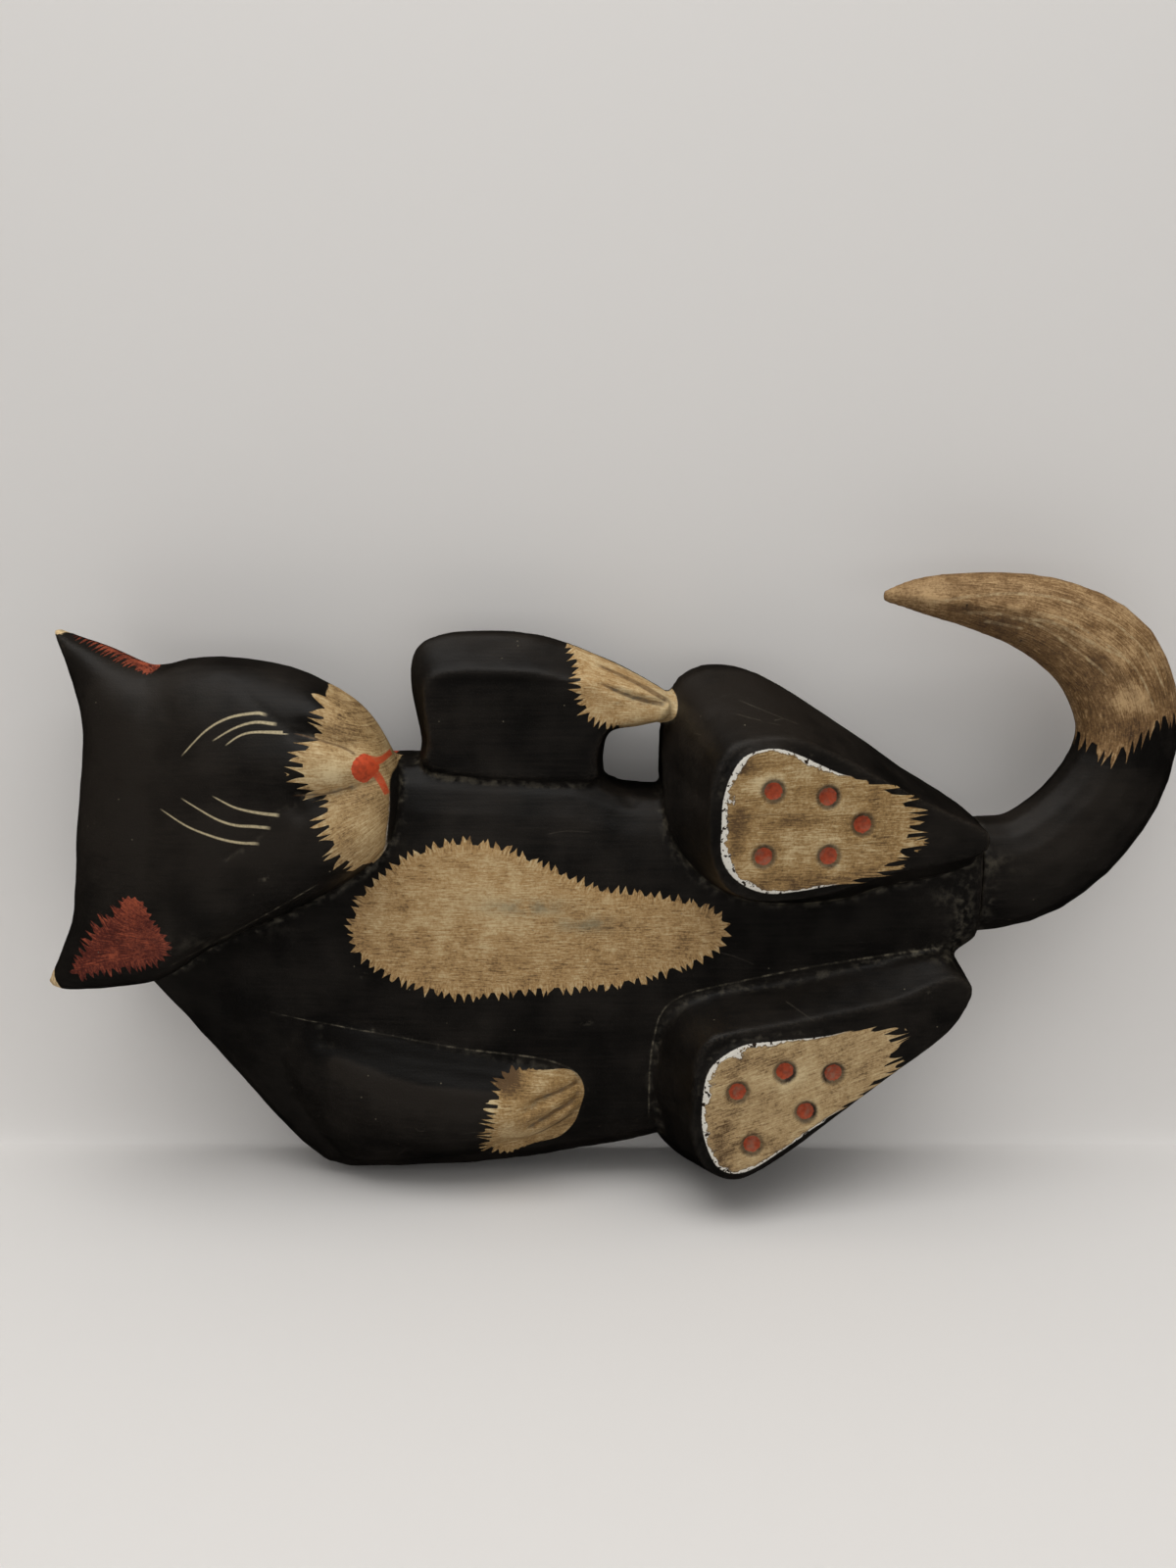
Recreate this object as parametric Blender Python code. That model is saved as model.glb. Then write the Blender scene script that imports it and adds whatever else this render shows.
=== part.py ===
"""A carved and painted wooden cat, made to hang on a wall.

Metres, +Z up. The flat back lies in the plane Y = 0 and the carving faces -Y.
The origin is the hanging point on the back, level with the centre of mass.
The cat lies on its side: ears to -X, tail to +X, one arm and one leg above the
other. Head, trunk, arms and legs are one block of wood. The tail is glued on.
"""

from math import pi, radians, tau

import bmesh
import bpy
import numpy as np

# Overall size and fit, in metres
CAT_LENGTH = 0.4741
JOINT_GAP = 0.0003
BACK_CHAMFER = 0.0015

# Depths, measured forward from the flat back, in metres
FLANK_DEPTH = 0.022
BELLY_DEPTH = 0.046
RUMP_DEPTH = 0.039
SHOULDER_DEPTH = 0.030
UPPER_ARM_DEPTH = 0.038
UPPER_PAW_DEPTH = 0.034
LOWER_ARM_DEPTH = 0.056
LOWER_PAW_DEPTH = 0.053
TOE_DEPTH = 0.074
HEEL_DEPTH = 0.052
FACE_DEPTH = 0.066
UPPER_EAR_DEPTH = 0.022
LOWER_EAR_DEPTH = 0.043
CHIN_TOP_DEPTH = 0.028
CHIN_BOTTOM_DEPTH = 0.033

# Tail: how far its centre line reaches out from the rump, and its width at the root, in metres.
# TAIL_FLATNESS is its thickness as a share of its width.
TAIL_REACH = 0.0610
TAIL_ROOT_WIDTH = 0.0510
TAIL_BACK_CLEARANCE = 0.0015
TAIL_FLATNESS = 0.72

# Carved details, in metres
SOLE_STEP = 0.0020
SOLE_ROOT = 0.0060
PAD_DIMPLE_RADIUS = 0.0046
PAD_DIMPLE_DEPTH = 0.0012
FINGER_GROOVE_WIDTH = 0.0034
FINGER_GROOVE_DEPTH = 0.0022
MUZZLE_GROOVE_WIDTH = 0.0028
MUZZLE_GROOVE_DEPTH = 0.0045
CHEEK_RISE = 0.0050
BRIDGE_RISE = 0.0040
EAR_HOLLOW = 0.0022
UPPER_FINGER_LEVEL = UPPER_PAW_DEPTH + 0.001
LOWER_FINGER_LEVEL = LOWER_PAW_DEPTH - 0.002

# Softened edges: how far a front edge drops, and the share of the slope it takes.
# The back edge is drawn in by BACK_INSET_SHARE of the way to the middle.
ARM_EDGE_DROP = 0.0015
ARM_EDGE_SHARE = 0.14
LEG_EDGE_DROP = 0.0012
LEG_EDGE_SHARE = 0.06
BACK_INSET_SHARE = 0.03

# The carver's pattern is drawn on squares. PATTERN_LENGTH squares make the cat's
# length, so a square is one millimetre at full size. A point is (across, up),
# counted from a corner that PATTERN_ORIGIN brings to the hanging point.
PATTERN_LENGTH = 474.1
PATTERN_ORIGIN = (-9.5, -53.8)
SQUARE = CAT_LENGTH / PATTERN_LENGTH

TRUNK_LEFT = -195.0
TRUNK_RIGHT = 164.2
TRUNK_TOP = [
    (-195, -30), (-170, -5), (-130, 6), (-95, 8), (-72, 8), (-33, 5), (-2, 3), (9, -3), (31, -6),
    (100, -10), (164.2, -17),
]
TRUNK_BOTTOM = [
    (-195, -83), (-173, -108), (-152, -133), (-132, -157), (-119, -170), (-106, -175),
    (-88, -174.5), (-44, -172), (0, -165), (28, -159), (60, -150), (100, -120), (140, -88), (164.2, -70),
]
# The front of the trunk along its middle, as (across, depth)
TRUNK_CREST = [
    (TRUNK_LEFT, 0.87 * SHOULDER_DEPTH), (-150, 1.2 * SHOULDER_DEPTH), (-105, 0.91 * BELLY_DEPTH),
    (-60, BELLY_DEPTH), (60, BELLY_DEPTH), (152.2, 1.03 * RUMP_DEPTH), (TRUNK_RIGHT, 0.97 * RUMP_DEPTH),
]
TRUNK_ROUNDNESS = 2.8

HEAD_TOP = [
    (-222, 63), (-203, 56), (-181, 47.5), (-165, 50), (-148, 51), (-124, 47), (-109, 41),
    (-95, 32), (-86, 21), (-80, 9),
]
HEAD_RIGHT = [(-80, 9), (-77, 1), (-77, -10), (-79, -21), (-87, -31)]
HEAD_BOTTOM = [
    (-226, -84), (-218, -87), (-197, -86), (-177, -82), (-160, -71), (-147, -64), (-122, -53),
    (-100, -41), (-87, -31),
]
HEAD_LEFT = [
    (-222, 63), (-215, 47), (-209, 28), (-209, 8), (-211, -12), (-212, -34), (-215, -58), (-226, -84),
]
HEAD_CENTRE = (-150, -14)
HEAD_NOSE_SHARE = 0.7
HEAD_BROW_SHARE = 0.45
# Rings that carry the head's rim to the back, as (share inward, share of the rim's depth)
HEAD_BACK_RINGS = [(0.03, 0.55), (0.10, 0.16), (0.17, 0.0)]
# Cheeks, bridge of the nose and hollow of the lower ear, as (centre, reach, rise)
FACE_SWELLINGS = [
    ((-99, 33), (15, 11), CHEEK_RISE), ((-97, -19), (16, 13), CHEEK_RISE),
    ((-104, 10), (26, 9), BRIDGE_RISE), ((-192, -66), (13, 11), -EAR_HOLLOW),
]
MUZZLE_GROOVES = [[(-112, 25), (-99, 20), (-84, 17)], [(-112, -6), (-99, 0), (-84, 5)]]

# Base outline at the wall side, then the front outline that stands over it
UPPER_ARM = [
    ((-69, 0), (-64, 6)), ((-70, 15), (-65, 18)), ((-73, 32), (-66.5, 32)), ((-74, 44), (-66, 40)),
    ((-71, 54), (-62, 44)), ((-62, 59), (-52, 45.5)), ((-45, 60.5), (-38, 45.5)), ((-24, 59), (-22, 44.5)),
    ((-4, 53.5), (-4, 41)), ((16, 44.5), (14, 38)), ((31, 36.5), (30, 34.5)), ((35.5, 32), (33.5, 31)),
    ((33, 25), (31, 26)), ((20, 21.5), (19, 24.5)), ((9, 19), (8, 22)), ((6, 8), (3, 9)),
    ((4, -6), (1, 2)), ((-30, -8), (-30, 3)),
]
UPPER_ARM_CREST = [(-75, UPPER_ARM_DEPTH - 0.001), (-20, UPPER_ARM_DEPTH), (36, UPPER_PAW_DEPTH)]

LOWER_ARM_LEFT = -152.0
LOWER_ARM_RIGHT = -1.5
LOWER_ARM_TOP = [
    (-152, -83), (-128, -87), (-105, -91.5), (-73, -99), (-41, -106.5), (-20, -111.5), (-9, -115.5),
    (-1.5, -124),
]
LOWER_ARM_RIDGE = [
    (-152, -106), (-128, -115), (-105, -125), (-82, -132.5), (-60, -135.5), (-41, -136.5), (-20, -136),
    (-9, -134.5), (-1.5, -135),
]
LOWER_ARM_BOTTOM = [
    (-152, -124), (-128, -148), (-105, -166), (-85, -166), (-48, -162), (-38, -157), (-22, -154.5),
    (-9, -148), (-1.5, -141),
]
LOWER_ARM_CREST = [
    (LOWER_ARM_LEFT, 0.87 * SHOULDER_DEPTH), (-118, 0.8 * LOWER_ARM_DEPTH),
    (-96, 0.95 * LOWER_ARM_DEPTH), (-73, LOWER_ARM_DEPTH), (-40, LOWER_ARM_DEPTH),
    (-20, 1.02 * LOWER_PAW_DEPTH), (-8, 0.96 * LOWER_PAW_DEPTH), (LOWER_ARM_RIGHT, 0.83 * LOWER_PAW_DEPTH),
]
LOWER_ARM_ROOT = FLANK_DEPTH / 2
LOWER_ARM_LIP_SHARE = 0.62
LOWER_ARM_STEEP_DROP = 0.0035
# Where the arm's long front is measured, as shares of the way from ridge to lower edge
LOWER_ARM_SHARES = np.array([0.12, 0.3, 0.55, 0.8, 0.95, 1.0])
LOWER_ARM_ROUNDNESS = 2.2

# Each leg: outline where the wood leaves the trunk or the back, as (across, up, depth),
# with the outline of the slanted top face over it
LEG_OUTER_DEPTH = FLANK_DEPTH
LEG_INNER_DEPTH = BELLY_DEPTH - 0.002
LEG_TOE_END = 46.0
LEG_HEEL_END = 162.0
SOLE_TOE_END = 52.0
SOLE_HEEL_END = 134.0
UPPER_LEG_OUTER = [
    ((31, 18), (48, 3)), ((35, 34), (52, 14)), ((42, 42.5), (58, 19.5)), ((55, 46), (70, 22)),
    ((73, 42), (83, 20.5)), ((103, 24), (104, 11)), ((132, 4), (132, -4)), ((156, -11), (155, -14.5)),
    ((164, -20), (162, -20.5)),
]
UPPER_LEG_INNER = [
    ((158, -33), (156, -27)), ((121, -42), (121, -32.5)), ((105, -47), (99, -38.5)),
    ((81, -49), (77, -41.5)), ((60, -46), (62, -40)), ((46, -37), (53, -33.5)), ((36, -25), (48.5, -22)),
    ((31.5, -8), (47.5, -9)),
]
LOWER_LEG_OUTER = [
    ((157, -76), (154, -79)), ((162, -89), (157.5, -86)), ((155, -110), (148, -101)),
    ((130, -132), (124, -117.5)), ((109, -150), (101, -133.5)), ((87, -167), (82, -146.5)),
    ((62, -178), (66, -155.5)), ((48, -175.5), (56, -156)), ((34, -165), (47, -149.5)),
    ((28, -154), (42.5, -136)),
]
LOWER_LEG_INNER = [
    ((28, -132), (42.5, -122)), ((29.5, -109), (43, -107)), ((35, -96), (49, -97)), ((49, -88), (60, -94.5)),
    ((82, -83), (80, -92.5)), ((123, -76), (122, -86.5)), ((148, -71), (145, -78.5)),
]
UPPER_SOLE = [
    (51, -10), (51.5, 0), (54.5, 9.5), (60, 16.5), (70, 19), (79.5, 16.8), (95, 9.5), (122, -3), (134, -9.5),
    (134, -20), (120, -29.5), (99, -35), (84, -37.6), (70, -38), (58.5, -33), (51.5, -23.5),
]
LOWER_SOLE = [
    (45.3, -124), (47, -111), (52, -104.5), (62, -99.5), (75, -99), (93, -98.7), (118, -96.5), (132, -96),
    (131, -104), (120, -118), (101, -131.4), (88.5, -140), (76, -147.4), (66, -153), (58, -153.8), (51, -149),
    (46, -136),
]
UPPER_PADS = [(71.3, 2.3), (93.3, -0.7), (107.8, -12.3), (68, -23.2), (94.3, -24.4)]
LOWER_PADS = [(59.7, -119.2), (79.1, -112.3), (99.5, -114.9), (88.2, -130.4), (66.2, -142.2)]

# Finger grooves as (start, end) on each front paw
UPPER_FINGERS = [((8, 38), (36, 27)), ((10, 32.5), (36, 26)), ((4, 48), (37, 34))]
LOWER_FINGERS = [((-28, -137), (1, -124)), ((-27, -144), (0, -131)), ((-24, -151), (-1, -137))]

# The hollow that lets light under the upper paw
SCOOP_CENTRE = (19, 2)
SCOOP_RADII = (0.016, 0.019)
SCOOP_FLOOR = 0.026
SCOOP_OVERRUN = 0.012

# A finger groove fades in over FINGER_RUN_IN squares; its cutter stands CUTTER_OVERRUN
# groove depths above the paw
FINGER_RUN_IN = 6
CUTTER_OVERRUN = 3

# Tail centre line from its root on the rump, as (out, up) in shares of the tail's reach
# and its width as a share of the root's
TAIL_ROOT = (164.5, -42.8)
TAIL_LINE = [
    (0, 0, 1), (0.345, 0.055, 0.953), (0.65, 0.263, 0.922), (0.885, 0.551, 0.871),
    (1.009, 0.857, 0.833), (1.009, 1.174, 0.831), (0.813, 1.546, 0.831), (0.395, 1.799, 0.655),
    (-0.073, 1.908, 0.459), (-0.435, 1.942, 0.294), (-0.692, 1.938, 0.086),
]
TAIL_RINGS = 27
TAIL_SIDES = 16

BLACK_PAINT = (0.0200, 0.0168, 0.0144)
TAN_PAINT = (0.2300, 0.1450, 0.0740)


def clear_scene():
    for item in list(bpy.data.objects):
        bpy.data.objects.remove(item, do_unlink=True)


def place(across, up, depth):
    """A point of the pattern, at a depth in front of the back, in metres."""
    x = (np.asarray(across, float) - PATTERN_ORIGIN[0]) * SQUARE
    z = (np.asarray(up, float) - PATTERN_ORIGIN[1]) * SQUARE
    return np.stack(np.broadcast_arrays(x, -np.asarray(depth, float), z), axis=-1)


def curve_through(points, steps, closed=False):
    """A smooth curve through the points, with a number of steps between each two."""
    points = np.asarray(points, float)
    count = len(points)
    spans = count if closed else count - 1
    rows = []
    for span in range(spans):
        if closed:
            a, b, c, d = (points[(span + k) % count] for k in (-1, 0, 1, 2))
        else:
            a, b, c, d = (points[min(max(span + k, 0), count - 1)] for k in (-1, 0, 1, 2))
        for step in range(steps):
            t = step / steps
            rows.append(0.5 * (2 * b + (c - a) * t + (2 * a - 5 * b + 4 * c - d) * t**2
                               + (3 * b - a - 3 * c + d) * t**3))
    if not closed:
        rows.append(points[-1])
    return np.array(rows)


def evenly(points, count):
    """Points spaced by an even length along a smooth curve."""
    fine = curve_through(points, 12)
    travelled = np.concatenate([[0], np.cumsum(np.linalg.norm(np.diff(fine, axis=0), axis=1))])
    wanted = np.linspace(0, travelled[-1], count)
    return np.stack([np.interp(wanted, travelled, column) for column in fine.T], axis=-1)


def height_along(points):
    """A smooth function that gives the height of a line of points at a place across."""
    fine = curve_through(points, 10)
    return lambda across: np.interp(across, fine[:, 0], fine[:, 1])


def dome(share, power):
    """A rounded profile: 1 in the middle, falling to 0 where the share reaches 1."""
    return np.clip(1 - np.clip(np.abs(share), 0, 1) ** power, 0, 1) ** (1 / power)


def paint(name, colour, roughness):
    material = bpy.data.materials.new(name)
    material.use_nodes = True
    shader = material.node_tree.nodes["Principled BSDF"]
    shader.inputs["Base Color"].default_value = (*colour, 1)
    shader.inputs["Roughness"].default_value = roughness
    shader.inputs["Metallic"].default_value = 0
    return material


def finish(name, mesh, material=None):
    """A mesh as an object: a sub-part with its paint, or a guide that shapes one."""
    item = bpy.data.objects.new(name, mesh)
    bpy.context.scene.collection.objects.link(item)
    if material:
        mesh.materials.append(material)
        mesh.shade_smooth()
        mesh.set_sharp_from_angle(angle=radians(35))
    else:
        item.hide_render = True
        item.display_type = "WIRE"
    return item


def closed_mesh(name, points, faces):
    shape = bmesh.new()
    corners = [shape.verts.new(point) for point in points]
    for face in faces:
        shape.faces.new([corners[index] for index in face])
    bmesh.ops.recalc_face_normals(shape, faces=shape.faces)
    mesh = bpy.data.meshes.new(name)
    shape.to_mesh(mesh)
    shape.free()
    return mesh


def loft(name, rings, material=None):
    """A closed body through rings of points, with a flat cap on the first and last."""
    around = len(rings[0])
    faces = [tuple(range(around))]
    for ring in range(len(rings) - 1):
        for k in range(around):
            low = ring * around
            after = (k + 1) % around
            faces.append((low + k, low + after, low + around + after, low + around + k))
    last = (len(rings) - 1) * around
    faces.append(tuple(last + k for k in range(around)))
    return finish(name, closed_mesh(name, np.concatenate(rings), faces), material)


def change(target, tool, operation):
    step = target.modifiers.new(tool.name, "BOOLEAN")
    step.operation = operation
    step.solver = "EXACT"
    step.object = tool


def trunk(material):
    """Chest, belly and rump: a flat back, upright flanks and a rounded front."""
    top = height_along(TRUNK_TOP)
    bottom = height_along(TRUNK_BOTTOM)
    front = height_along(TRUNK_CREST)
    shares = -np.cos(np.linspace(0, pi, 15))
    edge = BACK_CHAMFER / SQUARE
    rings = []
    for across in np.linspace(TRUNK_LEFT, TRUNK_RIGHT, 37):
        low, high = bottom(across), top(across)
        middle, half = (low + high) / 2, (high - low) / 2
        ups = np.concatenate([[low + edge, low], middle + half * shares, [high, high - edge]])
        crown = FLANK_DEPTH + (front(across) - FLANK_DEPTH) * dome(shares, TRUNK_ROUNDNESS)
        depths = np.concatenate([[0, BACK_CHAMFER], crown, [BACK_CHAMFER, 0]])
        rings.append(place(across, ups, depths))
    return loft("cat_body", rings, material)


def groove(across, up, line, width, depth):
    """How deep a rounded groove along a line cuts at each place."""
    line = curve_through(line, 8)
    gap = np.min([np.hypot(across - x, up - z) for x, z in line], axis=0)
    return depth * np.exp(-((gap * SQUARE / width) ** 2))


def swelling(across, up, centre, reach, rise):
    return rise * np.exp(-(((across - centre[0]) / reach[0]) ** 2) - (((up - centre[1]) / reach[1]) ** 2))


def head():
    """A face between four outlines, turned a little upward, with muzzle and ears."""
    count = 29
    spread = (1 - np.cos(np.linspace(0, pi, count))) / 2
    spread = 0.55 * spread + 0.45 * np.linspace(0, 1, count)

    def edge(points):
        even = evenly(points, 400)
        return np.stack([np.interp(spread, np.linspace(0, 1, 400), column) for column in even.T], axis=-1)

    top, bottom, left, right = (edge(line) for line in (HEAD_TOP, HEAD_BOTTOM, HEAD_LEFT, HEAD_RIGHT))
    s = spread[:, None, None]
    t = spread[None, :, None]
    between = (1 - t) * top[:, None] + t * bottom[:, None] + (1 - s) * left[None] + s * right[None]
    corners = ((1 - s) * (1 - t) * top[0] + s * (1 - t) * top[-1]
               + (1 - s) * t * bottom[0] + s * t * bottom[-1])
    plan = between - corners
    across, up = plan[..., 0], plan[..., 1]
    s, t = s[..., 0], t[..., 0]

    rim = ((1 - s) * (1 - t) * UPPER_EAR_DEPTH + s * (1 - t) * CHIN_TOP_DEPTH
           + (1 - s) * t * LOWER_EAR_DEPTH + s * t * CHIN_BOTTOM_DEPTH)
    nose, brow = HEAD_NOSE_SHARE, HEAD_BROW_SHARE
    lengthwise = np.where(s < nose, dome(1 - s / nose, 2.3), dome((s - nose) / (1 - nose), 3.5))
    crosswise = np.where(t < brow, dome(1 - t / brow, 2.6), dome((t - brow) / (1 - brow), 2.5))
    rise = lengthwise * crosswise
    depth = rim + (FACE_DEPTH - CHIN_BOTTOM_DEPTH) * rise
    relief = sum(swelling(across, up, *form) for form in FACE_SWELLINGS)
    for line in MUZZLE_GROOVES:
        relief = relief - groove(across, up, line, MUZZLE_GROOVE_WIDTH, MUZZLE_GROOVE_DEPTH)
    depth = depth + relief * np.clip(rise * 1.6, 0, 1)

    points = list(place(across, up, depth).reshape(-1, 3))
    faces = []
    for i in range(count - 1):
        for j in range(count - 1):
            corner = i * count + j
            faces.append((corner, corner + 1, corner + count + 1, corner + count))
    last = count - 1
    border = ([(i, 0) for i in range(last)] + [(last, j) for j in range(last)]
              + [(i, last) for i in range(last, 0, -1)] + [(0, j) for j in range(last, 0, -1)])
    loop = [i * count + j for i, j in border]
    outline = np.array([(across[i, j], up[i, j], rim[i, j]) for i, j in border])
    for inward, share in HEAD_BACK_RINGS:
        ring = outline.copy()
        ring[:, 0] += inward * (HEAD_CENTRE[0] - ring[:, 0])
        ring[:, 1] += inward * (HEAD_CENTRE[1] - ring[:, 1])
        start = len(points)
        points.extend(place(ring[:, 0], ring[:, 1], ring[:, 2] * share))
        inner = [start + k for k in range(len(border))]
        for k in range(len(border)):
            after = (k + 1) % len(border)
            faces.append((loop[k], loop[after], inner[after], inner[k]))
        loop = inner
    faces.append(tuple(loop))
    return finish("head", closed_mesh("head", points, faces))


def upper_arm():
    """A flat-faced arm with a bevelled outer side, its paw reaching for the leg."""
    base = curve_through([pair[0] for pair in UPPER_ARM], 3, closed=True)
    face = curve_through([pair[1] for pair in UPPER_ARM], 3, closed=True)
    slope = height_along(UPPER_ARM_CREST)
    middle = base.mean(axis=0)
    inset = base + (middle - base) * BACK_INSET_SHARE
    soft = face + (base - face) * ARM_EDGE_SHARE
    rings = [
        place(inset[:, 0], inset[:, 1], 0),
        place(base[:, 0], base[:, 1], BACK_CHAMFER),
        place(base[:, 0], base[:, 1], FLANK_DEPTH),
        place(soft[:, 0], soft[:, 1], slope(soft[:, 0]) - ARM_EDGE_DROP),
        place(face[:, 0], face[:, 1], slope(face[:, 0])),
    ]
    return loft("upper_arm", rings)


def lower_arm():
    """An arm laid over the belly: a steep upper side, a ridge and a long front."""
    top, ridge, bottom = (height_along(line) for line in (LOWER_ARM_TOP, LOWER_ARM_RIDGE, LOWER_ARM_BOTTOM))
    crest = height_along(LOWER_ARM_CREST)
    root, down = LOWER_ARM_ROOT, LOWER_ARM_SHARES
    rings = []
    for across in np.linspace(LOWER_ARM_LEFT, LOWER_ARM_RIGHT, 25):
        high, peak, low = top(across), ridge(across), bottom(across)
        tall = crest(across)
        lip = root + (tall - root) * LOWER_ARM_LIP_SHARE
        ups = np.concatenate([[high, high, high + (peak - high) * 0.55], peak + (low - peak) * down, [low]])
        front = tall - (tall - lip) * down**LOWER_ARM_ROUNDNESS
        depths = np.concatenate([[root, lip - 0.001, tall - LOWER_ARM_STEEP_DROP], front, [root]])
        rings.append(place(across, ups, depths))
    return loft("lower_arm", rings)


def sole_plane(across):
    """Depth of a leg's slanted top face, deepest at the toes."""
    share = (np.asarray(across, float) - LEG_TOE_END) / (LEG_HEEL_END - LEG_TOE_END)
    return TOE_DEPTH + (HEEL_DEPTH - TOE_DEPTH) * share


def sole_surface(across):
    """Depth of the painted sole: a step above the leg at the toes, sunk at the heel."""
    fade = np.clip((SOLE_HEEL_END - np.asarray(across, float)) / (SOLE_HEEL_END - SOLE_TOE_END), 0, 1)
    return sole_plane(across) + SOLE_STEP * (1.25 * fade - 0.25)


def leg(name, outer, inner):
    """A wedge that narrows from the trunk to its slanted top face."""
    pairs = outer + inner
    depth = [LEG_OUTER_DEPTH] * len(outer) + [LEG_INNER_DEPTH] * len(inner)
    foot = np.array([(*pair[0], d) for pair, d in zip(pairs, depth)])
    foot = curve_through(foot, 3, closed=True)
    face = curve_through([pair[1] for pair in pairs], 3, closed=True)
    middle = foot[:, :2].mean(axis=0)
    inset = foot[:, :2] + (middle - foot[:, :2]) * BACK_INSET_SHARE
    soft = face + (foot[:, :2] - face) * LEG_EDGE_SHARE
    rings = [
        place(inset[:, 0], inset[:, 1], 0),
        place(foot[:, 0], foot[:, 1], BACK_CHAMFER),
        place(foot[:, 0], foot[:, 1], foot[:, 2]),
        place(soft[:, 0], soft[:, 1], sole_plane(soft[:, 0]) - LEG_EDGE_DROP),
        place(face[:, 0], face[:, 1], sole_plane(face[:, 0])),
    ]
    return loft(name, rings)


def sole(name, outline):
    """The flat of the foot, standing a step above the leg."""
    across, up = curve_through(outline, 3, closed=True).T
    rings = [place(across, up, sole_plane(across) - SOLE_ROOT), place(across, up, sole_surface(across))]
    return loft(name, rings)


def dimple(name, centre):
    """A ball that leaves a shallow round hollow for a painted pad."""
    radius = (PAD_DIMPLE_RADIUS**2 + PAD_DIMPLE_DEPTH**2) / (2 * PAD_DIMPLE_DEPTH)
    surface = sole_surface(centre[0])
    shape = bmesh.new()
    bmesh.ops.create_uvsphere(shape, u_segments=24, v_segments=24, radius=radius)
    turned = place(centre[0], centre[1], surface - PAD_DIMPLE_DEPTH + radius)
    for corner in shape.verts:
        x, y, z = corner.co
        corner.co = (turned[0] + x, turned[1] - z, turned[2] + y)
    mesh = bpy.data.meshes.new(name)
    shape.to_mesh(mesh)
    shape.free()
    return finish(name, mesh)


def finger(name, ends, surface):
    """A V-shaped cutter laid along a finger groove."""
    line = np.array([ends[0], ends[1]], float)
    along = (line[1] - line[0]) / np.linalg.norm(line[1] - line[0])
    side = np.array([-along[1], along[0]]) * FINGER_GROOVE_WIDTH / SQUARE / 2
    rings = []
    above = surface + CUTTER_OVERRUN * FINGER_GROOVE_DEPTH
    for point, sink in ((line[0], 0.0), (line[0] + along * FINGER_RUN_IN, 1.0), (line[1], 1.0)):
        bite = FINGER_GROOVE_DEPTH * sink
        wide = side * CUTTER_OVERRUN
        corners = [(*(point + wide), above), (*(point - wide), above), (*point, surface - bite)]
        rings.append(np.array([place(*corner) for corner in corners]))
    return loft(name, rings)


def scoop():
    """An egg-shaped cutter for the hollow in the flank under the upper paw."""
    shape = bmesh.new()
    bmesh.ops.create_uvsphere(shape, u_segments=20, v_segments=12, radius=1)
    reach = BELLY_DEPTH + SCOOP_OVERRUN - SCOOP_FLOOR
    centre = place(SCOOP_CENTRE[0], SCOOP_CENTRE[1], SCOOP_FLOOR + reach)
    for corner in shape.verts:
        x, y, z = corner.co
        corner.co = (centre[0] + x * SCOOP_RADII[0], centre[1] + y * reach, centre[2] + z * SCOOP_RADII[1])
    mesh = bpy.data.meshes.new("scoop")
    shape.to_mesh(mesh)
    shape.free()
    return finish("scoop", mesh)


def tail(material):
    """A tapering horn that curls up and back from the rump."""
    line = evenly(TAIL_LINE, TAIL_RINGS)
    line[:, :2] = np.array(TAIL_ROOT) + line[:, :2] * TAIL_REACH / SQUARE
    line[:, 2] *= TAIL_ROOT_WIDTH / SQUARE
    axis_depth = TAIL_BACK_CLEARANCE + TAIL_ROOT_WIDTH / 2 * TAIL_FLATNESS
    line[0, 0] = TRUNK_RIGHT + JOINT_GAP / SQUARE
    heading = np.gradient(line[:, :2], axis=0)
    heading[0] = (1, 0)
    heading /= np.linalg.norm(heading, axis=1)[:, None]
    turns = np.arange(TAIL_SIDES) / TAIL_SIDES * tau
    rings = []
    for (across, up, width), (ahead, rise) in zip(line, heading):
        outward = np.array([rise, -ahead])
        flat = width / 2 * np.cos(turns)
        deep = width / 2 * SQUARE * TAIL_FLATNESS * np.sin(turns)
        rings.append(place(across + outward[0] * flat, up + outward[1] * flat, axis_depth + deep))
    return loft("tail", rings, material)


def build():
    clear_scene()
    black = paint("black_paint", BLACK_PAINT, 0.42)
    body = trunk(black)
    for piece in (
        head(),
        upper_arm(),
        lower_arm(),
        leg("upper_leg", UPPER_LEG_OUTER, UPPER_LEG_INNER),
        leg("lower_leg", LOWER_LEG_OUTER, LOWER_LEG_INNER),
        sole("upper_sole", UPPER_SOLE),
        sole("lower_sole", LOWER_SOLE),
    ):
        change(body, piece, "UNION")
    change(body, scoop(), "DIFFERENCE")
    for number, centre in enumerate(UPPER_PADS + LOWER_PADS, 1):
        change(body, dimple(f"dimple_{number}", centre), "DIFFERENCE")
    for number, ends in enumerate(UPPER_FINGERS, 1):
        change(body, finger(f"upper_finger_{number}", ends, UPPER_FINGER_LEVEL), "DIFFERENCE")
    for number, ends in enumerate(LOWER_FINGERS, 1):
        change(body, finger(f"lower_finger_{number}", ends, LOWER_FINGER_LEVEL), "DIFFERENCE")
    tail(paint("tan_paint", TAN_PAINT, 0.55))


build()
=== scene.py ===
"""Looks of the wooden cat wall plaque: carved wood under black paint, brushed tan fur, red pads and wear.

Metres, in the frame's own axes: +X towards the tail, -Y out of the wall, +Z up. Painted outlines
are in millimetres on the front, as (across, up), and depths are millimetres in front of the back.
"""

from math import radians
from types import SimpleNamespace

import bmesh
import bpy
import numpy as np
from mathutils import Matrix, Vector, noise


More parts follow.
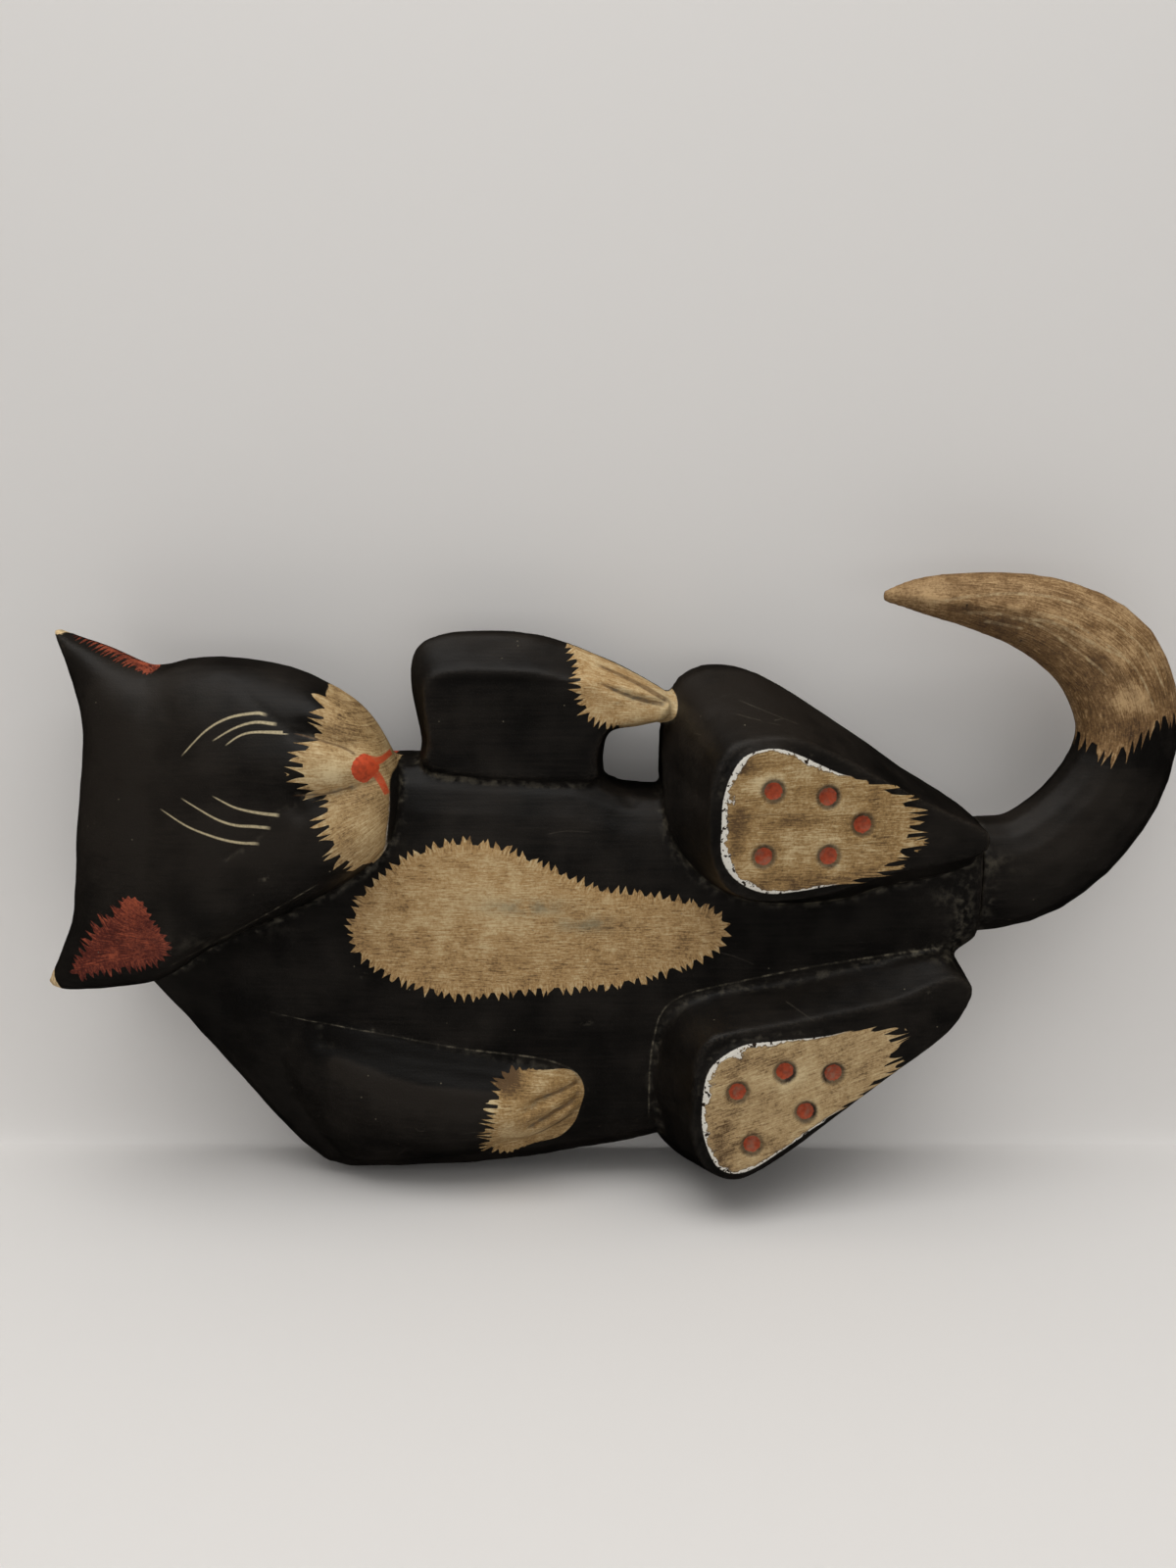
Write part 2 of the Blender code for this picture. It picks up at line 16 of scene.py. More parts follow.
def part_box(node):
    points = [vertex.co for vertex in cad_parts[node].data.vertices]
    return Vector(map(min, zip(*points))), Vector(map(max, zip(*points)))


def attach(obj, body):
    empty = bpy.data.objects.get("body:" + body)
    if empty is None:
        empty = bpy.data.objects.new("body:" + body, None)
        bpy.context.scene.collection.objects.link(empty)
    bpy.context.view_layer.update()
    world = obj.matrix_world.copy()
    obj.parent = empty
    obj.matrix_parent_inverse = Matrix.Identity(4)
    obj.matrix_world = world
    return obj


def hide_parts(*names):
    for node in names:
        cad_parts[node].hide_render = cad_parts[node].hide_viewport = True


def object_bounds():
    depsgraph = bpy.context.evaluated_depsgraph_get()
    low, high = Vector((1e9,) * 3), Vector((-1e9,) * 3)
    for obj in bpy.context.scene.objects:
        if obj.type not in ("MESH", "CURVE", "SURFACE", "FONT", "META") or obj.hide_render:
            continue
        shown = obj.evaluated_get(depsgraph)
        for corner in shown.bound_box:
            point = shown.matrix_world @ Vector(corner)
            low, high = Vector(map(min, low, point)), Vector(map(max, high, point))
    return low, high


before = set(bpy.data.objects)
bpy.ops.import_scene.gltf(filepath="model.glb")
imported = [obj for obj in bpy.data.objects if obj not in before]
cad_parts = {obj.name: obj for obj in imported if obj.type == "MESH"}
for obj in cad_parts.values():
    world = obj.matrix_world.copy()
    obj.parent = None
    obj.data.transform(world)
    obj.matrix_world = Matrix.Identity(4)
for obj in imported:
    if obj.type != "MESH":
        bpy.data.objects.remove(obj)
CAD_LOW, CAD_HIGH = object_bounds()

MM = 0.001
# Millimetres: how wide the small faces are, and how near points become one
BODY_SKIN = 1.62
TAIL_SKIN = 1.15
MERGE = 0.01
SPOTS_AT_ONCE = 4000

# Millimetres: the value far from any paint, and how far round a patch or a spot is written
FAR_OUT = -40.0
PATCH_MARGIN = 18
SPOT_MARGIN = 4.0

# Colours of the paints, the primer, the wood and the dirt, some also used for painted sheen and shade
BLACK = "#13110f"
BLACK_WORN_AND_SHEEN = "#26211c"
BLACK_RUBBED = "#453e35"
BELLY_TAN = "#a78555"
MUZZLE_TAN = "#a5875a"
SOLE_TAN = "#9b7b4b"
LOWER_SOLE_TAN = "#aa8e63"
TAIL_TAN = "#7b5c37"
TAIL_DARK = "#4b3520"
TAIL_LIGHT = "#bc9c70"
TAN_DARK = "#5d4529"
TAN_LIGHT = "#cbb68c"
NOSE_RED = "#bf4722"
PAD_RED = "#a64323"
EAR_RED = "#5c2115"
EAR_RED_WORN = "#4c1b11"
RED_DARK = "#45180f"
RED_LIGHT = "#a44d2f"
CREAM = "#b8aa88"
PRIMER = "#dcd8ce"
BARE_WOOD = "#d3b88c"
DUST = "#7d7562"
SMUDGE = "#5f6252"
RIM_DIRT_AND_SHADE = "#2f2218"
SCRATCH = "#4d473d"
TAIL_SCRAPE = "#b7a17a"
GROOVE_SHADE_BROWN = "#5e4427"
EDGE_DUST = "#6a6352"
PAPER = "#e3e1df"
TENT_WHITE = "#fbf8f5"

# Painted patches. An outline point is (across, up, length of the fringe, width of bare primer)
BELLY_FUR = [
    (-88, -8, 3.4, 0), (-84.6, 4, 3.4, 0), (-79.2, 11.3, 3.2, 0), (-64, 23, 3.2, 0), (-44.6, 29, 3.2, 0),
    (-25.8, 26.8, 3.2, 0), (-5.3, 18.4, 3, 0), (13.9, 10.2, 3, 0), (36.4, 7.4, 3, 0), (59, 2, 3, 0),
    (65.5, -5.3, 3.2, 0), (60, -15.8, 3.4, 0), (41.1, -23.5, 3.4, 0), (18.4, -29.3, 3, 0),
    (-13.7, -31.5, 3.4, 0), (-43.5, -33.8, 3.6, 0), (-66.2, -28, 3.6, 0), (-84, -18, 3.4, 0),
]
MUZZLE_FUR = [
    (-95, 98, 0, 0), (-85, 89, 0, 0), (-76, 77, 0, 0), (-70, 66, 0, 0), (-69.4, 55, 0, 0.1),
    (-69.8, 43, 0, 0.3), (-71.6, 31.5, 0, 0.3), (-76.5, 23.5, 1, 0), (-80.5, 24.6, 4, 0), (-84, 27, 6.5, 0),
    (-86.6, 29.4, 7.5, 0), (-88, 32.6, 7, 0), (-89.2, 35.9, 7.5, 0), (-90.2, 39.4, 7, 0), (-91, 42.4, 6.5, 0),
    (-91.6, 45.3, 6, 0), (-91.8, 48, 5, 0), (-91.4, 51, 2.5, 0), (-92.4, 53, 2, 0), (-94.6, 54.2, 4, 0),
    (-97.2, 55.6, 6, 0), (-98.8, 58, 7, 0), (-100, 60.8, 7.5, 0), (-100.6, 64.4, 7.5, 0), (-100.7, 68, 7, 0),
    (-100.2, 70.6, 5.5, 0), (-98.6, 72.4, 3.5, 0), (-96, 74, 2, 0), (-94.6, 76.4, 4.5, 0),
    (-94, 79.5, 5.5, 0), (-93.8, 83.2, 6, 0), (-94, 86.6, 6, 0), (-94.8, 89.8, 5.5, 0), (-96.4, 92.6, 4, 0),
    (-97.8, 95.4, 1.5, 0),
]
UPPER_PAW_FUR = [
    (3.2, 110, 2, 0), (4.8, 103.5, 4, 0), (6.4, 97, 4.6, 0), (6.8, 90.5, 4.6, 0), (9, 84.5, 4.2, 0),
    (12.5, 80.4, 3.6, 0), (20, 77.8, 2.8, 0), (29, 75, 1.5, 0), (38, 76, 0, 0), (45.4, 80, 0, 0),
    (45.4, 90, 0, 0), (34, 97, 0, 0), (21, 103.5, 0, 0),
]
LOWER_PAW_FUR = [
    (-22, -67, 2, 0), (-8.6, -67, 0, 0), (0.5, -67, 0, 0), (5.6, -70, 0, 0), (8, -77, 0, 0), (6.5, -84, 0, 0),
    (3.5, -93, 0, 0), (-3, -100.5, 0, 0), (-14, -104, 0, 0), (-26, -108.5, 2, 0), (-33, -103.5, 4.5, 0),
    (-31, -95, 6, 0), (-29, -86, 6, 0), (-27.8, -78, 5.5, 0), (-26, -71, 4, 0),
]
UPPER_SOLE_FUR = [
    (60.5, 43.8, 0, 1.7), (61, 53.8, 0, 2.4), (64, 63.3, 0, 1.9), (69.5, 70.3, 0, 0.9), (79.5, 72.8, 0, 0.6),
    (89, 70.6, 0, 1.3), (104.5, 63.3, 0, 0.8), (111, 60.8, 0.5, 0.1), (119.5, 57.4, 2, 0), (127.5, 54, 4, 0),
    (133.5, 49.2, 6.5, 0), (136.5, 43.5, 8, 0), (136.2, 37, 8, 0), (133.2, 30, 7, 0), (128, 25.2, 5.5, 0),
    (120, 20.8, 3.5, 0), (110, 18.4, 1, 0), (102, 17.2, 0, 0.5), (93.5, 16.2, 0, 0.6), (79.5, 15.8, 0, 0.9),
    (68, 20.8, 0, 1.6), (61, 30.3, 0, 2.8),
]
LOWER_SOLE_FUR = [
    (54.8, -70.2, 0, 1.9), (56.5, -57.2, 0, 2.4), (61.5, -50.7, 0, 1.6), (71.5, -45.7, 0, 2.6),
    (84.5, -45.2, 0, 1.0), (102.5, -44.9, 0, 0.4), (118, -43.8, 1, 0), (126, -44.6, 2.5, 0),
    (131, -47.2, 6, 0), (133.4, -52.6, 7.5, 0), (131, -59, 7, 0), (125.5, -66.8, 5.5, 0),
    (115, -74.6, 2.5, 0), (103, -82.6, 0.5, 0.5), (85.5, -94, 0, 0.8), (75.5, -99.2, 0, 1.0),
    (67.5, -100, 0, 1.3), (60.5, -95.2, 0, 1.4), (55.5, -82.2, 0, 2.0),
]
UPPER_EAR_RED = [
    (-209.5, 118.6, 0.5, 0), (-193, 113, 0, 0), (-181, 108.5, 0, 0), (-167, 101, 0, 0),
    (-169.5, 98.8, 0.8, 0), (-181.6, 104.2, 1.6, 0), (-195.6, 111, 2.2, 0), (-207.5, 116.2, 1, 0),
]
LOWER_EAR_RED = [
    (-174, 10.8, 1.2, 0), (-168, 9.2, 1.2, 0), (-164.6, 1.4, 2, 0), (-159.4, -6.6, 2.4, 0),
    (-160.7, -12.4, 2.6, 0), (-167.2, -16.6, 3, 0), (-187, -20.4, 3.2, 0), (-197.5, -23, 3, 0),
    (-201.5, -22, 2, 0), (-195, -13.4, 4.4, 0), (-189.2, -4.2, 5, 0), (-183.4, 0, 4.6, 0),
    (-177.4, 7, 3.6, 0),
]
TAIL_FUR = [
    (200, 88, 3, 0), (208, 80, 4.5, 0), (215.2, 73.4, 5.5, 0), (220.3, 68.4, 6, 0), (225, 66.4, 7, 0),
    (231.6, 69.6, 6, 0), (237.9, 76, 5.5, 0), (246.1, 81, 5.5, 0), (278, 92, 4, 0), (278, 160, 0, 0),
    (100, 160, 0, 0), (100, 84, 0, 0), (150, 84, 0, 0),
]
TAIL_ARRIS = [
    (140.6, 129.5), (154.1, 127.4), (169.5, 126), (182.9, 125), (194.3, 121.4), (208, 114.5), (219.8, 105.8),
    (232.3, 93), (241.1, 77.2),
]
SNOUT_LINES = [
    [(-137.6, 97.5), (-127.8, 94), (-119.4, 86.8), (-108.8, 79.6), (-101.9, 75.4), (-84, 70.5)],
    [(-80, 56.5), (-94.5, 55.3), (-101.3, 51.3), (-112.7, 45.7), (-118.7, 36.8), (-132.7, 28.1)],
]
SCRATCHES = [
    [(90.3, -33.7), (95, -35.5), (100.2, -38.2)], [(-6.9, 33.4), (1, 34.6), (9.9, 34.1)],
    [(51.7, 75.8), (54.3, 75.7)], [(82.2, 82), (86.6, 82.3)], [(68, 84), (84, 80.5)],
    [(70, 88.6), (92, 80.2)], [(-44, -92.2), (-32, -90.4), (-22, -89.6)],
    [(-62.5, -89), (-60, -91.5), (-58.4, -89.2)], [(-72, -107), (-67.6, -101.6)],
    [(69, 46.6), (78, 47.4), (93, 46.8)], [(60, -15), (70, -17.6), (78, -21)],
]
# Edges where legs, arm and head meet the trunk, that hold a line of dust
DUSTY_EDGES = [
    ([(35.5, -89.5), (35.5, -66.9), (37.3, -51.5), (40.4, -41.3), (48.2, -34.7), (62.4, -30.6), (97.2, -23.5),
      (129.4, -18.8), (156, -16)], 0.3, 0.45),
    ([(-125.4, -44.6), (-106.3, -48), (-76.8, -51.9), (-43.9, -57.9), (-11.1, -62.2), (1.3, -66.7),
     (6.4, -72.4)], 0.15, 0.45),
    ([(-159.4, -18.1), (-129.1, -1.9), (-99.6, 15.8)], 0.15, 0.2),
    ([(45.5, 28.8), (55.5, 16.8), (69.5, 7.8), (90.5, 4.8), (114.5, 6.8), (130.5, 11.8),
     (160, 18.6)], 0.1, 0.25),
]
# The lower arm: a hollow under its upper edge, carved in and darkened with painted shade, and the ridge that
# carries a painted sheen
ARM_HOLLOW = [(-102, -55), (-72, -61.5), (-47.6, -66), (-25, -69)]
ARM_RIDGE_SHEEN = [(-95, -64.4), (-84.3, -68.4), (-71.9, -72.3), (-51.5, -75.8), (-31.2, -77)]
TAIL_SCRAPES = [
    [(149.5, 126.4), (164.4, 129.1), (180.8, 130.4), (197.4, 129.1), (212.8, 124), (225.7, 116.4),
     (236.9, 106), (245.3, 91.6)],
    [(181.3, 120.7), (197.4, 118.9), (207.6, 113.8), (217.8, 108.7), (228.3, 103.6), (235.6, 94.5),
     (240.5, 84)],
    [(163.8, 122.5), (177.4, 122), (192.7, 117.6), (203, 111.2), (213.4, 103.5), (221.3, 97.1)],
    [(190, 123), (204, 119.5), (216, 112), (226, 106)], [(171.7, 119.3), (186.9, 116.2)],
]

# Pads sunk in the soles, and the nose
PADS = [
    (80.8, 56.1), (102.8, 53.1), (117.3, 41.5), (77.5, 30.6), (103.8, 29.4),
    (69.2, -65.4), (88.6, -58.5), (109.0, -61.1), (97.7, -76.6), (75.7, -88.4),
]
PAD_RADIUS = 3.6
NOSE = [
    (-82.4, 63.6), (-81.4, 67.2), (-78.4, 69.0), (-75.4, 67.0), (-72.6, 63.0), (-75.4, 59.4), (-78.4, 57.4),
    (-81.4, 59.8),
]
EAR_CHIPS = [
    [(-218, 122), (-207, 117.6), (-206.8, 113.8), (-210.5, 113.6), (-218, 112)],
    [(-220, -20), (-213.4, -21.8), (-211.4, -26), (-209, -31), (-216, -38)],
]

# Brush lines as (points, half-width at the start, half-width at the end)
EYE_LINES = [
    ([(-149.5, 68.5), (-140.1, 77.9), (-131, 82.9), (-120.8, 84.7), (-117.2, 84.2)], 0.2, 0.55),
    ([(-136.8, 74.3), (-128.6, 79), (-120.5, 81.3), (-112.7, 80.6)], 0.2, 0.6),
    ([(-131.5, 72.7), (-126.5, 76.1), (-120.3, 77.6), (-107.9, 77.4)], 0.2, 0.65),
    ([(-136.7, 52.6), (-128.5, 48.6), (-120.4, 46.8), (-111.5, 45.7)], 0.2, 0.65),
    ([(-149.5, 51.3), (-136.9, 44.4), (-128.7, 41.7), (-120.5, 41.2), (-115.5, 40.7)], 0.2, 0.6),
    ([(-158.2, 46.7), (-147.5, 40.6), (-135.1, 36.4), (-127, 34.8), (-120.4, 34.4)], 0.2, 0.55),
]
# Carved muzzle creases, each drawn with a brown line of painted shade
MUZZLE_CREASES = [
    ([(-104.9, 77), (-93.7, 73.8), (-86.2, 71.4), (-81.6, 68.8)], 0.3, 0.4),
    ([(-104.8, 53.4), (-93.6, 53.6), (-86.2, 55.3), (-83, 56.1)], 0.3, 0.4),
]
MOUTH_LINES = [
    ([(-77, 66.4), (-74, 65.4), (-72, 65.8), (-70.2, 67.6)], 1.6, 1.0),
    ([(-75, 62), (-72.8, 58.6), (-71.2, 55.4), (-70.2, 52.4)], 1.6, 0.8),
]

TAIL_PATH = [
    (174, 11), (195, 14.4), (213.7, 27), (228, 44.6), (235.5, 63.3), (235.5, 82.6), (223.6, 105.3),
    (198.1, 120.7), (169.5, 127.4), (147.5, 129.5), (131.8, 129.2),
]
TAIL_AXIS_DEPTH = 19.9

# Finger grooves, each drawn with a brown line of painted shade
FINGER_GROOVES = [
    [(-12.6, -79), (4.5, -73.5)], [(-15, -91), (4.5, -79)], [(-14, -99), (3, -87)],
    [(13.9, 101), (23, 97), (32.5, 92.4), (42, 87)], [(15.1, 94.2), (21.9, 90.9), (30.3, 87.9), (40, 85.6)],
]
GROOVE_STARTS = [(-102.5, 78.8), (-102.5, 47.8)]
GOUGES = [
    ((-84.5, -26.9), (1.6, 1.0), 1.0), ((9.5, -46.6), (2.4, 1.0), 1.0), ((-117.8, 20), (1.5, 1.2), 0.8),
    ((148, -30), (2, 1.2), 0.6), ((73, 61.5), (5, 3), 0.5),
]

# Millimetres of carving, and the hills that a knife leaves as (height, width, seed)
SOLE_DEPTH = 48
ARM_DEPTH = 34
ARM_DIP = 3.0
PAD_HOLLOW = 1.5
PAD_LIP = 0.5
BODY_RIPPLES = ((0.30, 17, 3), (0.16, 7, 11))
TAIL_RIPPLES = ((0.28, 15, 5), (0.14, 6, 9))
TAIL_RADIUS = 16

# Soft round marks as (strength, (across, up, width, height, least depth))
BELLY_STAINS = [(0.75, (-15.4, 3.3, 16, 2.8, 30)), (0.7, (11.5, -4.1, 14, 3, 30))]
BODY_SCUFFS = [
    (0.8, (166, -4, 5, 16, 10)), (0.5, (158, 6, 6, 5, 10)), (0.7, (160, -18, 9, 3, 10)),
    (0.5, (168, 18, 5, 6, 10)), (0.35, (-140, -8, 22, 4, 10)), (0.3, (-80, 30, 12, 4, 10)),
]
# Lighter and darker places in the paint: some fading, with painted sheen where the head, cheeks, upper leg
# and lower arm face the light, and painted shade along edges of the soles
BODY_FADING_AND_PAINTED_LIGHT = [
    (0.8, (-175, 62, 45, 60, 0)), (0.6, (-120, 30, 26, 16, 0)), (1.2, (84, 88, 50, 14, 0)),
    (0.5, (-30, 112, 40, 10, 0)), (0.6, (-70, -84, 40, 12, 30)), (0.5, (-90, -60, 30, 8, 30)),
    (0.5, (-30, 4, 30, 14, 30)), (1.2, (79, 60, 7, 5, 60)), (0.5, (72, 30, 7, 7, 60)),
    (0.7, (104, 30, 7, 7, 60)), (0.4, (104, 52, 7, 7, 60)), (0.8, (90, -60, 9, 7, 60)),
    (0.6, (97, -77, 7, 7, 60)), (1.0, (-90, 63, 9, 5, 40)), (-0.4, (-82, 82, 10, 8, 20)),
    (-0.9, (70, 66, 10, 4, 60)), (-0.8, (66, 40, 4, 12, 60)), (-0.7, (96, 20, 22, 3, 60)),
    (-0.9, (92, 44, 12, 2, 60)), (-0.9, (62, -88, 5, 12, 60)), (-0.6, (80, -53, 14, 3, 60)),
]
TAIL_SCUFFS = [(0.5, (176, 0, 3, 30, 5)), (0.4, (180, 20, 8, 4, 20))]
TAIL_FADING = [
    (1.1, (229.1, 87.4, 7, 6, 20)), (0.4, (148, 128, 14, 5, 8)), (-0.7, (176, 119, 7, 3, 20)),
    (-0.5, (163.9, 124.6, 6, 2, 15)), (-0.6, (215.7, 117, 8, 2.5, 15)), (0.4, (212, 112, 9, 3, 20)),
    (0.6, (200, 30, 24, 16, 20)), (0.5, (226, 52, 14, 12, 20)),
]
TAIL_PITS = [((164, 125.4), 0.8), ((187.4, 111), 0.7)]

# Millimetres of the paint: a brush streak along, up and into the wood, a stroke of fur, dust and relief
BRUSH_STREAK = (25, 2, 1.1)
STROKE_LENGTH = 6.666667
STROKE_WIDTH = 0.588235
STROKES_IN_TOOTH = 4.5
SPECK_SPACING = 10
PAINT_RELIEF = 0.4

# Random marks in the paint as (millimetres across, detail, roughness, levels from and to)
RANDOM_MARKS = {
    "cloud": (22.2222, 3, 0.5, None),
    "fine": (0.769231, 3, 0.5, None),
    "fluff": (1.11111, 5, 0.7, None),
    "blotch": (9.09091, 3, 0.55, None),
    "chips": (1.818182, 4, 0.5, (0.35, 0.62, 0.1, 1.5)),
    "peeled": (5, 5, 0.6, (0.36, 0.66, 0.25, 1.9)),
    "patchy": (3.571429, 4, 0.6, (0.46, 0.66, 0, 1)),
}
# Sockets of a node that mixes two colours
SHARE, UNDER, OVER, MIXED = 0, 6, 7, 2

# The paper sweep in metres, and the light
SWEEP_NEAR = -0.42
SWEEP_FOLD = 0.001
SWEEP_WALL = 0.02
SWEEP_RISE = 0.14
SWEEP_TOP = 2.0
SWEEP_HALF = 1.6
TENT_LIGHT = 0.28
# Soft boxes as (name, place, target, size, watts, colour, whether the paint mirrors it)
SOFT_BOXES = [
    ("top_light", (-0.15, -0.42, 1.15), (0, -0.1, 0), (1.5, 0.8), 3.2, "#fffdfa", True),
    ("front_light", (-0.35, -0.9, 0.8), (0, 0, 0), (0.9, 0.5), 0.5, "#fffdfa", True),
    ("top_fill", (0, -0.36, 1.1), (0, -0.15, -0.1), (1.6, 1.0), 7.8, "#fffefc", False),
    ("high_front_fill", (0.1, -0.95, 0.75), (0, 0, 0), (1.6, 0.9), 1.8, "#fffefc", False),
    ("floor_fill", (0, -0.95, -0.02), (0, 0, -0.1), (1.8, 0.2), 0.9, "#fffefc", False),
    ("low_front_fill", (0, -1.0, -0.4), (0, 0, 0.05), (1.8, 0.4), 0.4, "#fffefc", False),
]


def linear(code):
    """A sRGB hex colour as linear red, green, blue and full alpha."""
    parts = [int(code[place:place + 2], 16) / 255 for place in (1, 3, 5)]
    return tuple(v / 12.92 if v <= 0.04045 else ((v + 0.055) / 1.055) ** 2.4 for v in parts) + (1.0,)


def curve_through(points, steps, closed=False):
    """A smooth curve through the points, with a number of steps between each two."""
    points = np.asarray(points, float)
    count = len(points)
    rows = []
    for span in range(count if closed else count - 1):
        places = [span + k for k in (-1, 0, 1, 2)]
        places = [p % count if closed else min(max(p, 0), count - 1) for p in places]
        a, b, c, d = points[places]
        for t in np.arange(steps) / steps:
            rows.append(0.5 * (2 * b + (c - a) * t + (2 * a - 5 * b + 4 * c - d) * t**2
                               + (3 * b - a - 3 * c + d) * t**3))
    rows.append(points[0] if closed else points[-1])
    return np.array(rows)


def travelled_along(line):
    """How far each point of a line lies from its start."""
    steps = np.linalg.norm(np.diff(line, axis=0), axis=1)
    return np.concatenate([[0], np.cumsum(steps)])


def nearest_on(line, spots):
    """For each spot: the nearest place on a line as segment, share of it, distance and side."""
    start, step = line[:-1], np.diff(line, axis=0)
    long = (step**2).sum(axis=1)
    out = np.zeros((len(spots), 4))
    for first in range(0, len(spots), SPOTS_AT_ONCE):
        last = first + SPOTS_AT_ONCE
        block = spots[first:last]
        gap = block[:, None] - start
        share = np.clip((gap * step).sum(axis=2) / long, 0, 1)
        away = gap - share[..., None] * step
        far = np.hypot(away[..., 0], away[..., 1])
        best = far.argmin(axis=1)
        row = np.arange(len(block))
        turn = step[best, 0] * gap[row, best, 1] - step[best, 1] * gap[row, best, 0]
        out[first:last] = np.stack([best, share[row, best], far[row, best], np.sign(turn)], axis=1)
    return out


def inside(outline, spots):
    """Whether each spot lies inside a closed outline."""
    x, z = spots[:, 0], spots[:, 1]
    found = np.zeros(len(spots), bool)
    for (x0, z0), (x1, z1) in zip(outline[:-1], outline[1:]):
        if z0 == z1:
            continue
        found ^= ((z0 > z) != (z1 > z)) & (x < (x1 - x0) * (z - z0) / (z1 - z0) + x0)
    return found


def depth_inside(outline, spots):
    """How far each spot lies inside a closed outline, less than 0 outside."""
    found = nearest_on(outline, spots)
    return np.where(inside(outline, spots), found[:, 2], -found[:, 2])


class Skin:
    """A CAD node's surface as an even net of small faces, with numbers on it for the materials."""

    def __init__(self, node, name, spacing):
        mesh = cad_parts[node].data.copy()
        shape = bmesh.new()
        shape.from_mesh(mesh)
        bmesh.ops.remove_doubles(shape, verts=shape.verts, dist=MERGE * MM)
        shape.to_mesh(mesh)
        shape.free()
        self.item = bpy.data.objects.new(name, mesh)
        bpy.context.scene.collection.objects.link(self.item)
        even = self.item.modifiers.new("even net", "REMESH")
        even.mode = "VOXEL"
        even.voxel_size = spacing * MM
        even.adaptivity = 0
        ready = self.item.evaluated_get(bpy.context.evaluated_depsgraph_get())
        net = bpy.data.meshes.new_from_object(ready)
        self.item.modifiers.clear()
        self.item.data = net
        net.name = name
        self.low, self.high = (np.array(corner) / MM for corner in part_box(node))
        self.mesh = net
        self.co = np.zeros(len(net.vertices) * 3, np.float32)
        net.vertices.foreach_get("co", self.co)
        self.co = self.co.reshape(-1, 3).astype(float) / MM
        self.faces = np.zeros(len(net.loops), np.int32)
        net.loops.foreach_get("vertex_index", self.faces)
        self.faces = self.faces.reshape(-1, 4)
        self.edges = np.zeros(len(net.edges) * 2, np.int32)
        net.edges.foreach_get("vertices", self.edges)
        self.edges = self.edges.reshape(-1, 2)
        self.degree = np.bincount(self.edges.ravel(), minlength=len(self.co))[:, None]

    def front(self):
        """Each point's place as seen from the front: across and up."""
        return self.co[:, [0, 2]]

    def pull(self, values):
        """How far each point's neighbours lie from it on average."""
        a, b = self.edges.T
        total = np.stack([np.bincount(a, column[b], len(values)) + np.bincount(b, column[a], len(values))
                          for column in values.T], axis=1)
        return total / self.degree - values

    def soften(self, rounds, weight=1.0):
        """Smooths the net without shrinking it."""
        for _ in range(rounds):
            for strength in (0.5, -0.52):
                self.co = self.co + strength * weight * self.pull(self.co)

    def normals(self):
        """Each point's direction out of the surface."""
        self.store_points()
        found = np.zeros(len(self.co) * 3, np.float32)
        self.mesh.vertices.foreach_get("normal", found)
        return found.reshape(-1, 3).astype(float)

    def faces_front(self):
        """How far each point faces the front, from 0 to 1."""
        return np.clip(-self.normals()[:, 1], 0, 1)

    def hollow(self, rounds):
        """Millimetres that a smoothed surface lies above this one: over 0 in creases, under 0 on arrises."""
        soft = self.co
        for _ in range(rounds):
            soft = soft + 0.5 * self.pull(soft)
        return ((soft - self.co) * self.normals()).sum(axis=1)

    def store_points(self):
        self.mesh.vertices.foreach_set("co", (self.co * MM).astype(np.float32).ravel())
        self.mesh.update()

    def keep_in_box(self):
        self.co = np.clip(self.co, self.low, self.high)
        self.store_points()

    def write(self, name, values, kind="FLOAT", place="CORNER", field="value"):
        """Writes numbers on the net, one to each corner of a face or to each point."""
        made = self.mesh.attributes.new(name, kind, place)
        made.data.foreach_set(field, values.astype(np.float32).ravel())


